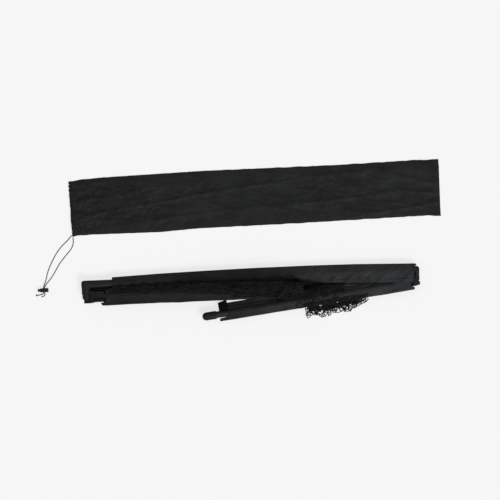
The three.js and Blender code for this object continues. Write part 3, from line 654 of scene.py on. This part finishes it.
def hull(across, near, far, cover):
    """Height of cloth laid over a tube, or over the wider fitting, and drawn out to an edge on each side."""
    bend = tube_round * bend_share
    shoulder = math.sqrt(tube_round ** 2 - bend ** 2)
    from_axis = np.abs(across)
    reach = np.where(across > 0, near, far)
    share = np.clip((from_axis - bend) / np.maximum(reach - bend, 0.01), 0, 1)
    arc = np.sqrt(np.maximum(tube_round ** 2 - np.minimum(from_axis, bend) ** 2, 0))
    slope = edge_height + (shoulder - edge_height) * (1 - share) ** 1.5
    height = np.where(from_axis < bend, arc, slope)
    outward = np.minimum(from_axis, fitting_half) / fitting_half
    box = fitting_height * np.clip(1 - outward ** fitting_corners, 0, 1) ** (1 / fitting_corners)
    return np.maximum(height, box * cover)


def post_sleeve(name, place, start, far_at, tips, seed, body, node):
    """One post's cloth: a tunnel round the tube, with a flat edge of spare cloth on each side.

    tips says how far each edge runs out past the tunnel: near and far at the start, near at the end."""
    stations = np.linspace(start, sleeve_end, round((sleeve_end - start) / sleeve_step) + 1)
    around = np.linspace(0, 2 * math.pi, sleeve_sides, endpoint=False)
    x = np.repeat(stations[:, None], sleeve_sides, axis=1)
    far = far_at(x)
    crowding = 0.35
    crowded = around + crowding * np.sin(2 * around)
    y = near_flap - (near_flap + far) * (1 - np.cos(crowded)) / 2
    z = hull(y, near_flap, far, cover=1 - smooth(*fitting_end, x))

    from_edge = np.where(y > 0, near_flap, far) - np.abs(y)
    loose = smooth(*loose_cloth, np.abs(y))
    swell = (waves(x, y * 0.7, seed, wavelength=120, spread=0.22, depth=0.9)
             + creases(x, y, seed + 1, wavelength=60, angle=0.22, spread=0.3, depth=1.7)
             - creases(x, y, seed + 3, wavelength=46, angle=-0.15, spread=0.4, depth=1.1, sharpness=3.2))
    hem_line, stitch_line, pucker_line, pucker_turns = 3.2, 8.2, 6, 0.62
    hem = bead(from_edge - hem_line, width=2.6, height=1.3)
    groove = bead(from_edge - stitch_line, width=2.0, height=0.9)
    gathers = np.sin(x * pucker_turns + ripples(x, seed + 5, wavelength=60, depth=2))
    puckers = gathers * bead(from_edge - pucker_line, width=3, height=0.22)
    end_seams = bead(x - start - 4, width=1.3, height=0.5) + bead(sleeve_end - x - 5, width=1.3, height=0.5)
    top = z + swell * (0.3 + 0.5 * loose) + (hem - groove + puckers) * loose - end_seams
    lower = np.broadcast_to(around > math.pi, y.shape)
    z = np.where(lower, -z + swell * 0.25, top)
    z = z - smooth(*far_sagging, -y) * far_sag - smooth(*near_sagging, y) * near_sag

    on_near = smooth(*near_tip, y)
    on_far = smooth(*far_tip, -y) * (1 - 0.25 * smooth(*far_tip_taper, -y))
    at_start = np.clip(1 - (x - start) / start_run, 0, 1)
    at_end = np.clip(1 - (sleeve_end - x) / end_run, 0, 1)
    spread_x = x - (on_near * tips[0] + on_far * tips[1]) * at_start + on_near * tips[2] * at_end
    y = y + ripples(x, seed + 2, wavelength=150, depth=0.4) * smooth(*edge_wander, np.abs(y))
    rings = np.stack([spread_x, y, z], axis=-1)
    obj = new_object(name, place(rings), grid_faces(len(stations), sleeve_sides, True), sleeve_cloth)
    give_thickness(obj, -0.0007)
    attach(obj, body)
    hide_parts(node)


def right_far_edge(x):
    """The right post's far edge widens from its hinge on."""
    return right_far_start + (right_far_flap - right_far_start) * smooth(*right_far_widens, x)


post_sleeve("left_post_cloth", left_frame, start=53.6, far_at=lambda x: x * 0 + left_far_flap,
            tips=(0, 14, 24), seed=11, body="left_post", node="left_post_sleeve")
post_sleeve("right_post_cloth", right_frame, start=14, far_at=right_far_edge,
            tips=(9, 0, 25), seed=21, body="right_post", node="right_post_sleeve")


# Cloth on the crossbar: how far it reaches from the axis, at places along the goal

sleeve_low, sleeve_high = extent("crossbar_sleeve")
sleeve_left, panel_right = sleeve_low[X], sleeve_high[X]
tunnel_right = 425.0
upper_edge = ((-368, 16.6), (-239, 20.9), (-118, 23.1), (2, 24.6), (162, 24.6), (282, 22.9), (402, 18.9),
              (430, 18.0), (434, 16.2))
skirt_edge = ((118, 12.0), (135, 16.8), (265, 26.9), (411, 30.8), (434, 31.2))
panel_stations, panel_columns = 322, 64
tunnel_stations, tunnel_sides = 120, 48
tunnel_round = 11.5
over_tube = [(8.6, 8.7), (0.5, 12.2)]
skirt_opens, cloth_slackens, hem_begins, corner_runs_out = (112, 200), (90, 230), (100, 150), (422, 434)
round_tube = np.array([(-8.7, 8.6), (-12.2, 1.5), (-11.4, -6.0)])
skirt_shares, skirt_heights = np.array([0.36, 0.72, 1.0]), np.array([12.3, 11.6, 10.4])


def panel_profile(x):
    """Points of the top panel at x: along, across, up from the axis, and how far from its lower edge."""
    up, low = reading(x, upper_edge), reading(x, skirt_edge)
    out = smooth(*skirt_opens, x)
    lying = np.column_stack([-skirt_shares * low, skirt_heights])
    tail = round_tube * (1 - out) + lying * out
    line = smooth_line([(up, 0.4), ((up + 9) / 2 + 1, 4.6), *over_tube, *tail], per_span=10)
    run = run_along(line)
    share = np.linspace(0, run[-1], panel_columns)
    return np.column_stack([np.full(panel_columns, x), np.interp(share, run, line[:, 0]),
                            np.interp(share, run, line[:, 1]), run[-1] - share])


def crossbar_cloth():
    """The top panel: from the folded upper edge over the tube, then round it, or out over the right post."""
    stations = np.linspace(sleeve_left, panel_right, panel_stations)
    rings = np.array([panel_profile(x) for x in stations])
    x, y, z, from_edge = (rings[..., k] for k in range(4))
    slack = smooth(*cloth_slackens, x)
    folds = (creases(x, y, 31, wavelength=75, angle=math.radians(42), spread=0.3, depth=3.0) * slack
             + creases(x, y, 34, wavelength=55, angle=math.radians(-35), spread=0.4, depth=1.5) * (1 - slack)
             - creases(x, y, 35, wavelength=50, angle=math.radians(18), spread=0.5, depth=0.9, sharpness=3.2)
             + waves(x, y * 2.2, 32, wavelength=170, spread=0.2, depth=0.7))
    pucker_turns = 0.7
    double = 0.5 * (1 - smooth(10, 12, from_edge))
    grooves = sum(bead(from_edge - line, width=1.1, height=0.85) for line in (4.6, 11.4))
    puckers = np.sin(x * pucker_turns) * bead(from_edge - 7.5, width=4.5, height=0.16)
    hem = (double - grooves + puckers) * smooth(*hem_begins, x)
    seams = sum(bead(distance, width=1.2, height=0.6)
                for distance in (x - sleeve_left - 3.5, panel_right - 3 - x, panel_right - 9 - x))
    on_top = smooth(-3, 5, z)
    corner = 10 * smooth(7, 15, y) * smooth(*corner_runs_out, x)
    lift = 0.2
    top = z + (folds + lift + hem - seams) * on_top + axis_height
    rings = np.stack([x + corner, y, top], axis=-1)
    obj = new_object("crossbar_cloth", places(rings), grid_faces(len(stations), panel_columns), sleeve_cloth)
    give_thickness(obj, 0.0007, 0.0)
    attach(obj, "crossbar")
    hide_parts("crossbar_sleeve")


def crossbar_tunnel():
    """The lining tunnel under the top panel, all round the tube, with the folded upper edge."""
    inset = 0.4
    stations = np.linspace(sleeve_left + inset, tunnel_right, tunnel_stations)
    around = np.linspace(0, 2 * math.pi, tunnel_sides, endpoint=False)
    x = np.repeat(stations[:, None], tunnel_sides, axis=1)
    out, rise = np.cos(around), np.sin(around)
    y = np.where(out > 0, out * (reading(x, upper_edge) - inset), out * tunnel_round)
    z = tunnel_round * rise * np.where(out > 0, 1 - 0.9 * out ** 3, 1)
    z = np.where(rise > 0, np.minimum(z, tunnel_round - 0.1) - inset, z)
    rings = np.stack(np.broadcast_arrays(x, y, z + axis_height), axis=-1)
    faces = grid_faces(len(stations), tunnel_sides, True)
    obj = new_object("crossbar_tunnel_cloth", places(rings), faces, sleeve_cloth)
    give_thickness(obj, -0.0006)
    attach(obj, "crossbar")


crossbar_cloth()
crossbar_tunnel()


# The carry bag: where its edges lie across the goal, at shares of its length from the mouth on

bag_low, bag_high = extent("carry_bag")
bag_left, bag_right = bag_low[X], bag_high[X] + 1.8
bag_lower = ((0, 129.6), (0.015, 131.6), (0.05, 132.9), (0.24, 131.5), (0.34, 136.8), (0.6, 138.6),
             (0.8, 141.6), (0.965, 144.2), (0.985, 142.2), (1, 141.4))
bag_upper = ((0, 277.4), (0.03, 281.3), (0.09, 284.7), (0.2, 287.1), (0.36, 290.4), (0.72, 290.3),
             (0.9, 293.4), (0.935, 294.6), (0.96, 293.3), (1, 294.3))
bag_flat, bag_sole = 1.2, 0.6
bag_lowest, bag_highest = 1.5, 11.0
bag_end_strip, bag_end_height = 3, 2.2
bag_height, bag_swell = 2.9, 2.2
bag_edge_share = 1 / 36
mouth_stretch, mouth_stations, rest_stations = 90, 50, 230
bag_columns = 90
crumpled_run, puckered_run, slanted_run, ragged_run = 190, 55, 90, 14
mouth_rise, end_rise = (-12, 60), (-6, 45)
fold_depth, mouth_slant = 1.2, 4.4


def bag_folds(x, y, from_mouth):
    """Creases and narrow valleys in the bag's cloth, most of them near the mouth."""
    patches = smooth(-0.2, 1.2, waves(x, y, 45, wavelength=260))
    crumpled = 0.35 + 0.65 * np.exp(-(from_mouth / crumpled_run) ** 2) + 0.25 * patches
    return (creases(x, y, 41, wavelength=110, angle=math.radians(3), spread=0.14, depth=2.2)
            + creases(x, y, 42, wavelength=70, angle=math.radians(-14), spread=0.3, depth=1.5)
            + creases(x, y, 47, wavelength=44, angle=math.radians(38), spread=1.1, depth=1.7) * crumpled
            + creases(x, y, 40, wavelength=24) * crumpled
            + waves(x, y, 43, wavelength=160, angle=0.05, spread=0.4, depth=1.1)
            - creases(x, y, 39, wavelength=60, angle=math.radians(-4), spread=0.5, depth=1.9, sharpness=3.4)
            * crumpled)


def bag_details(x, y, from_mouth, from_end):
    """Puckers at the drawn mouth, the cord's channel with its seam, and the seam at the closed end."""
    puckers = (creases(x * 0.35, y, 44, wavelength=17, spread=0.35, depth=1.6)
               + creases(x * 0.6, y, 48, wavelength=30, angle=0.5, spread=0.4, depth=1.2))
    channel = bead(from_mouth - 9, width=7, height=0.8)
    seams = bead(from_mouth - 19.5, width=1.5, height=0.9) + bead(from_end - 6, width=1.5, height=0.5)
    return puckers * np.exp(-(from_mouth / puckered_run) ** 2) + channel - seams


def carry_bag():
    """The empty bag: a flat tube of cloth, open at its mouth and closed at its far end."""
    mouth_end = bag_left + mouth_stretch
    stations = np.concatenate([np.linspace(bag_left, mouth_end, mouth_stations, endpoint=False),
                               np.linspace(mouth_end, bag_right, rest_stations)])
    across = (1 - np.cos(np.linspace(0, math.pi, bag_columns))) / 2
    share = np.concatenate([across, across[-2:0:-1]])
    count = len(share)
    share = np.repeat(share[None], len(stations), axis=0)
    upper = np.arange(count) < bag_columns
    x = np.repeat(stations[:, None], count, axis=1)
    along = (x - bag_left) / (bag_right - bag_left)
    wobble = ripples(x, 46, wavelength=55, depth=0.35)
    low, high = reading(along, bag_lower) + wobble, reading(along, bag_upper) - wobble
    y = low + (high - low) * share
    from_mouth, from_end = x - bag_left, bag_right - x

    inner = np.sqrt(np.clip(np.sin(math.pi * share), 0, 1))
    ends = smooth(*mouth_rise, from_mouth) * smooth(*end_rise, from_end)
    relief = bag_folds(x, y, from_mouth) * fold_depth + bag_details(x, y, from_mouth, from_end)
    height = np.clip(bag_height + bag_swell * inner * ends + relief * inner, bag_lowest, bag_highest)
    edge = smooth(0, bag_edge_share, np.minimum(share, 1 - share))
    z = np.where(upper, bag_flat + (height - bag_flat) * edge, bag_sole + (1 - edge) * (bag_flat - bag_sole))
    z = np.where(upper & (from_end < bag_end_strip), np.minimum(z, bag_end_height), z)

    slant = -mouth_slant * share * np.exp(-(from_mouth / slanted_run) ** 2)
    teeth = ripples(y, 49, wavelength=9, depth=0.5) + ripples(y, 50, wavelength=60, depth=0.5)
    teeth = teeth * (np.exp(-(from_mouth / ragged_run) ** 2) + np.exp(-(from_end / ragged_run) ** 2))
    rings = np.stack([x + slant + teeth, y, z], axis=-1)
    faces = grid_faces(len(stations), count, True)
    faces.append(tuple(range((len(stations) - 1) * count, len(stations) * count)))
    obj = new_object("carry_bag_cloth", places(rings), faces, bag_cloth)
    give_thickness(obj, -0.0004)
    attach(obj, "bag")
    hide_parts("carry_bag")


carry_bag()


# How the net's strands are laid

strand_round = 0.9
strand_sides = 6
strand_points = 8
knot_round = 1.7
knot_height = 0.85
knot_shape = (1.15, 0.85, 0.8)
mesh_side = 27.0
pile_share = 0.15
field_left, field_right = -372, 350
field_far, field_near = -150, 0
above_all = 200


class Ground:
    """Heights of what lies under the net, in 1 mm squares, raised by each strand that is laid on it."""

    def __init__(self, objects):
        self.height = np.zeros((field_right - field_left, field_near - field_far))
        graph = bpy.context.evaluated_depsgraph_get()
        trees = [BVHTree.FromObject(obj, graph) for obj in objects]
        down = Vector((0, 0, -1))
        for i in range(self.height.shape[0]):
            for k in range(self.height.shape[1]):
                start = at(field_left + i + 0.5, field_far + k + 0.5, above_all)
                hits = [tree.ray_cast(start, down)[0] for tree in trees]
                self.height[i, k] = max([0, *(hit.z / MM for hit in hits if hit is not None)])

    def square(self, x, y):
        i = int(np.clip(x - field_left, 1, self.height.shape[0] - 2))
        k = int(np.clip(y - field_far, 1, self.height.shape[1] - 2))
        return i, k

    def under(self, x, y):
        i, k = self.square(x, y)
        return self.height[i - 1:i + 2, k - 1:k + 2].max()

    def lay(self, x, y, top):
        i, k = self.square(x, y)
        self.height[i, k] = max(self.height[i, k], top)


def lay_strand(ground, start, end, rng):
    """One side of a mesh between two knots: its spare length bows out, and it settles on what is below."""
    share = np.linspace(0, 1, strand_points)
    span = end[:2] - start[:2]
    distance = max(float(np.linalg.norm(span)), 1.0)
    spare = max(mesh_side - distance, 0.6)
    widest = min(math.sqrt(3 * distance * spare / 8), 0.42 * mesh_side)
    bulge = widest * rng.uniform(0.35, 1.0) * rng.choice([-1, 1])
    across = np.array([-span[1], span[0]]) / distance
    skew = rng.uniform(-0.25, 0.25)
    profile = np.sin(math.pi * share) + skew * np.sin(2 * math.pi * share)
    line = start[:2] + share[:, None] * span + profile[:, None] * bulge * across
    straight = start[2] + (end[2] - start[2]) * share
    rest = np.array([ground.under(x, y) + strand_round for x, y in line])
    highest_bridge, easing_rounds = 3.0, 3
    settled = np.maximum(rest, np.minimum(straight, rest + highest_bridge))
    settled[0], settled[-1] = start[2], end[2]
    for _ in range(easing_rounds):
        eased = settled.copy()
        eased[1:-1] = (settled[:-2] + 2 * settled[1:-1] + settled[2:]) / 4
        settled = np.maximum(eased, rest)
        settled[0], settled[-1] = start[2], end[2]
    return np.column_stack([line, settled])


def knitted(ground, spots, rng):
    """Knots and the strands between them, laid row after row. spots[row][column] is a place or None."""
    strands, knots = [], []
    earlier = {}
    for row, line in enumerate(spots):
        laid = {}
        for column, spot in enumerate(line):
            if spot is None or (row + column) % 2:
                continue
            x, y = spot
            laid[column] = np.array([x, y, ground.under(x, y) + knot_round * knot_height])
            knots.append(laid[column])
        fresh = []
        for column, knot in laid.items():
            for neighbour in (column - 1, column + 1):
                if neighbour in earlier:
                    fresh.append(lay_strand(ground, earlier[neighbour], knot, rng))
        for strand in fresh:
            for x, y, z in strand[1:-1]:
                ground.lay(x, y, z + strand_round * pile_share)
        for x, y, z in laid.values():
            ground.lay(x, y, z + knot_round * pile_share)
        strands += fresh
        earlier = laid
    return strands, knots


def folded(step, width):
    """Distance across a band of this width when the net is folded back and forth in it."""
    turn = (step / width) % 2.0
    return width * (turn if turn <= 1 else 2 - turn)


def band_spots(columns, rows, start, end, near_of, far_of, rows_at, rng):
    """Where the knots of a net lie that is folded back and forth between two edges."""
    jitter, narrowest, row_share, unevenness = 4.0, 4.0, 0.8, 0.05
    spots = []
    pitch = mesh_side / math.sqrt(2)
    phase = rng.uniform(0, 10, size=columns)
    for row in range(rows):
        line = []
        for column in range(columns):
            x = start + (end - start) * column / (columns - 1) + rng.normal(0, jitter)
            if row >= rows_at(x):
                line.append(None)
                continue
            near, far = near_of(x), far_of(x)
            width = max(far - near, narrowest)
            fold = folded(row * pitch * row_share + phase[column], width)
            line.append((x, -float(np.clip(near + fold + rng.normal(0, width * unevenness), near, far))))
        spots.append(line)
    return spots


def each(function, values):
    return np.array([function(value) for value in values])


def gathered(count, start, end, y_of, low, high, rng, spread):
    """Strands drawn together lengthwise, as along the edge where the net is laced to its tube."""
    quick_sway, slow_sway, quick_lift, slow_lift = 14, 31, 19, 43
    strands = []
    for _ in range(count):
        x = np.linspace(start + rng.uniform(-8, 8), end + rng.uniform(-8, 8), int((end - start) / 7))
        phase = rng.uniform(0, 2 * math.pi, 4)
        sway = np.sin(x / quick_sway + phase[0]) * 0.6 + np.sin(x / slow_sway + phase[1])
        lift = np.sin(x / quick_lift + phase[2]) * 0.5 + np.sin(x / slow_lift + phase[3]) * 0.5
        y = each(y_of, x) + rng.uniform(-1, 1) * spread + sway * spread * 0.35
        z = (low + high) / 2 + (high - low) / 2 * np.clip(lift + rng.uniform(-0.4, 0.4), -1, 1)
        strands.append(np.column_stack([x, y, z]))
    return strands


def drawn_out(ground, count, start, end, near_of, far_of, rng):
    """Strands of the upper layers drawn out lengthwise, each lying on what is below it."""
    shortest, longest, step, steepest = 60, 190, 6.0, 1.5
    strands = []
    for _ in range(count):
        first = rng.uniform(start, end - shortest)
        x = np.arange(first, min(first + rng.uniform(shortest, longest), end), step)
        phase = rng.uniform(0, 2 * math.pi, 2)
        share = rng.uniform(0, 1) + 0.13 * np.sin(x / 23 + phase[0]) + 0.06 * np.sin(x / 9 + phase[1])
        near, far = each(near_of, x), each(far_of, x)
        y = -(near + (far - near) * np.clip(share, 0.02, 0.98))
        z = np.array([ground.under(a, b) + strand_round * 0.8 for a, b in zip(x, y)])
        padded = np.concatenate([z[:1], z, z[-1:]])
        z = np.maximum(z - steepest, (padded[:-2] + padded[1:-1] + padded[2:]) / 3)
        for a, b, c in zip(x, y, z):
            ground.lay(a, b, c + strand_round * 0.5)
        strands.append(np.column_stack([x, y, z]))
    return strands


def net_layers(name, body, seed, start, end, near_of, far_of, ragged=0.7):
    """The lowest layers of the bunched net, too dense to see the floor through: a lumpy dark sheet, which
    also stands in for the shade in and under the bunched net.

    near_of and far_of say where its edges are, and ragged how much they run in and out."""
    step, columns, height, lumps = 3.0, 14, 3.5, 2.0
    stations = np.arange(start, end, step)
    x = np.repeat(stations[:, None], columns, axis=1)
    near, far = each(near_of, stations)[:, None], each(far_of, stations)[:, None]
    y = near + (far - near) * np.linspace(0, 1, columns)[None]
    y = y + waves(x, y, seed, wavelength=16, depth=ragged)
    z = height + lumps * np.clip(waves(x, y, seed + 1, wavelength=13, octaves=2), -1, 1)
    obj = new_object(name, places(np.stack([x, y, z], axis=-1)), grid_faces(*x.shape), net_twine)
    give_thickness(obj, 0.9 * MM, 0.0)
    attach(obj, body)


def net_mesh(name, strands, knots):
    """Strands as thin tubes and knots as small lumps, in one mesh."""
    vertices, faces = [], []
    for strand in strands:
        first = len(vertices)
        vertices.extend(tube_rings(strand, strand_round, strand_sides, (0.02, 0.01, 1)).reshape(-1, 3))
        ring_faces = grid_faces(len(strand), strand_sides, closed=True)
        faces.extend(tuple(first + k for k in face) for face in ring_faces)
    lump = bmesh.new()
    bmesh.ops.create_icosphere(lump, subdivisions=1, radius=knot_round)
    lump_points = np.array([v.co[:] for v in lump.verts])
    lump_faces = [[v.index for v in face.verts] for face in lump.faces]
    lump.free()
    rng = np.random.default_rng(5)
    for knot in knots:
        first = len(vertices)
        turn = np.array(Matrix.Rotation(rng.uniform(0, math.pi), 3, "Z"))
        vertices.extend((lump_points * knot_shape) @ turn.T + knot)
        faces.extend(tuple(first + k for k in face) for face in lump_faces)
    obj = new_object(name, places(vertices), faces, net_twine)
    return obj


# The net between the crossbar and the left post: how far its edges are from the axis, and its rows

sleeves = [bpy.data.objects[name] for name in ("left_post_cloth", "right_post_cloth")]
bare_pieces = [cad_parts[name] for name in ("left_foot_cap", "left_foot_block", "left_post_tube",
                                                 "right_foot_cap", "right_foot_block", "left_post_fitting",
                                                 "right_post_tube")]
ground = Ground([*sleeves, bpy.data.objects["crossbar_cloth"], *bare_pieces])
under_hem = Ground([*sleeves, *bare_pieces])
rng = np.random.default_rng(77)

left_start, left_end = -372, 140
left_near_edge = ((-372, 11), (-335, 6), (-150, 6.5), (-50, 11), (140, 15))
left_far_edge = ((-372, 19), (-300, 26), (-200, 30), (-90, 41), (-50, 46), (-10, 52), (34, 57), (140, 58))
left_rows = ((-372, 7), (-250, 13.9), (-50, 24.25), (140, 30))
left_layers_far = ((-429, -22), (-404, -24), (-398, -48), (-380, -48), (-370, -28), (142, -30))


def from_table(table):
    return lambda x: reading(x, table)


left_near, left_far = from_table(left_near_edge), from_table(left_far_edge)
left_spots = band_spots(columns=36, rows=30, start=left_start, end=left_end, near_of=left_near,
                        far_of=left_far, rows_at=from_table(left_rows), rng=rng)
left_strands, left_knots = knitted(ground, left_spots, rng)
left_strands += drawn_out(ground, count=80, start=left_start, end=left_end, near_of=left_near,
                          far_of=left_far, rng=rng)
left_strands += gathered(count=16, start=-415, end=-330, y_of=lambda x: -14.0, low=4, high=24, rng=rng,
                         spread=2.0)
left_strands += gathered(count=9, start=-340, end=left_end, y_of=lambda x: -13.5, low=6, high=20, rng=rng,
                         spread=1.6)
net_layers("net_left_layers", "crossbar", seed=61, start=-432, end=142, near_of=lambda x: -6.0,
           far_of=from_table(left_layers_far))
left_net = net_mesh("net_left", left_strands, left_knots)
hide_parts("net_roll")
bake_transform(left_net)


# The net between the crossbar and the right post, open meshes over that post, and the heap beyond it

right_start, right_end = 122, 248
right_net_far = ((122, 60), (180, 58), (215, 50), (248, 34))
right_rows = ((122, 24), (200, 22.2), (248, 7.8))
over_start, over_length, over_rows, over_columns = 118, 112, 4, 11
over_near, over_beyond = 52, 20
heap_start, heap_length, heap_rows, heap_columns = 143, 164, 13, 19
heap_row_step, heap_beyond = 11.5, 8
heap_reach = ((143, 29), (189, 41), (235, 38), (276, 36), (308, 14))
heap_layers_reach = ((150, 26), (172, 35), (235, 34), (270, 31), (292, 24))


def hem_place(x):
    return -reading(x, skirt_edge)


def right_post_y(x):
    return -pin_drop - (pin_x - x) * math.tan(math.radians(right_open))


def over_spot(row, column):
    """A knot of the few meshes that lie stretched over the right post."""
    x = over_start + over_length * column / (over_columns - 1) + rng.normal(0, 3)
    far = -right_post_y(x) + over_beyond
    return x, -(over_near + (far - over_near) * row / (over_rows - 1)) + rng.normal(0, 2)


def heap_spot(row, column):
    """A knot of the loose heap, which is folded back and forth beyond the right post."""
    x = heap_start + heap_length * column / (heap_columns - 1) + rng.normal(0, 5.5)
    fold = folded(row * heap_row_step + rng.uniform(0, 9), reading(x, heap_reach) + 3)
    return x, -(-right_post_y(x) + heap_beyond + fold + rng.normal(0, 1.6))


right_spots = band_spots(columns=12, rows=24, start=right_start, end=right_end,
                         near_of=lambda x: -hem_place(x) - 7, far_of=from_table(right_net_far),
                         rows_at=from_table(right_rows), rng=rng)
right_strands, right_knots = knitted(under_hem, right_spots, rng)
right_strands += drawn_out(under_hem, count=36, start=96, end=252, near_of=lambda x: -hem_place(x) - 10,
                           far_of=lambda x: min(-right_post_y(x) - 8, 62), rng=rng)
right_strands += gathered(count=22, start=125, end=300, y_of=lambda x: hem_place(x) + 1.5, low=5, high=24,
                          rng=rng, spread=6.0)
over_spots = [[over_spot(row, column) for column in range(over_columns)] for row in range(over_rows)]
over_strands, over_knots = knitted(ground, over_spots, rng)
heap_spots = [[heap_spot(row, column) for column in range(heap_columns)] for row in range(heap_rows)]
heap_strands, heap_knots = knitted(ground, heap_spots, rng)
net_layers("net_right_layers", "crossbar", seed=63, start=58, end=300,
           near_of=lambda x: hem_place(x) + 6, far_of=lambda x: right_post_y(x) + 9)
net_layers("net_heap_layers", "right_post", seed=65, start=150, end=292,
           near_of=lambda x: right_post_y(x) - 18,
           far_of=lambda x: right_post_y(x) - reading(x, heap_layers_reach), ragged=2.6)
right_net = net_mesh("net_right", right_strands + over_strands + heap_strands,
                     right_knots + over_knots + heap_knots)
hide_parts("net_spill")
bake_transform(right_net)
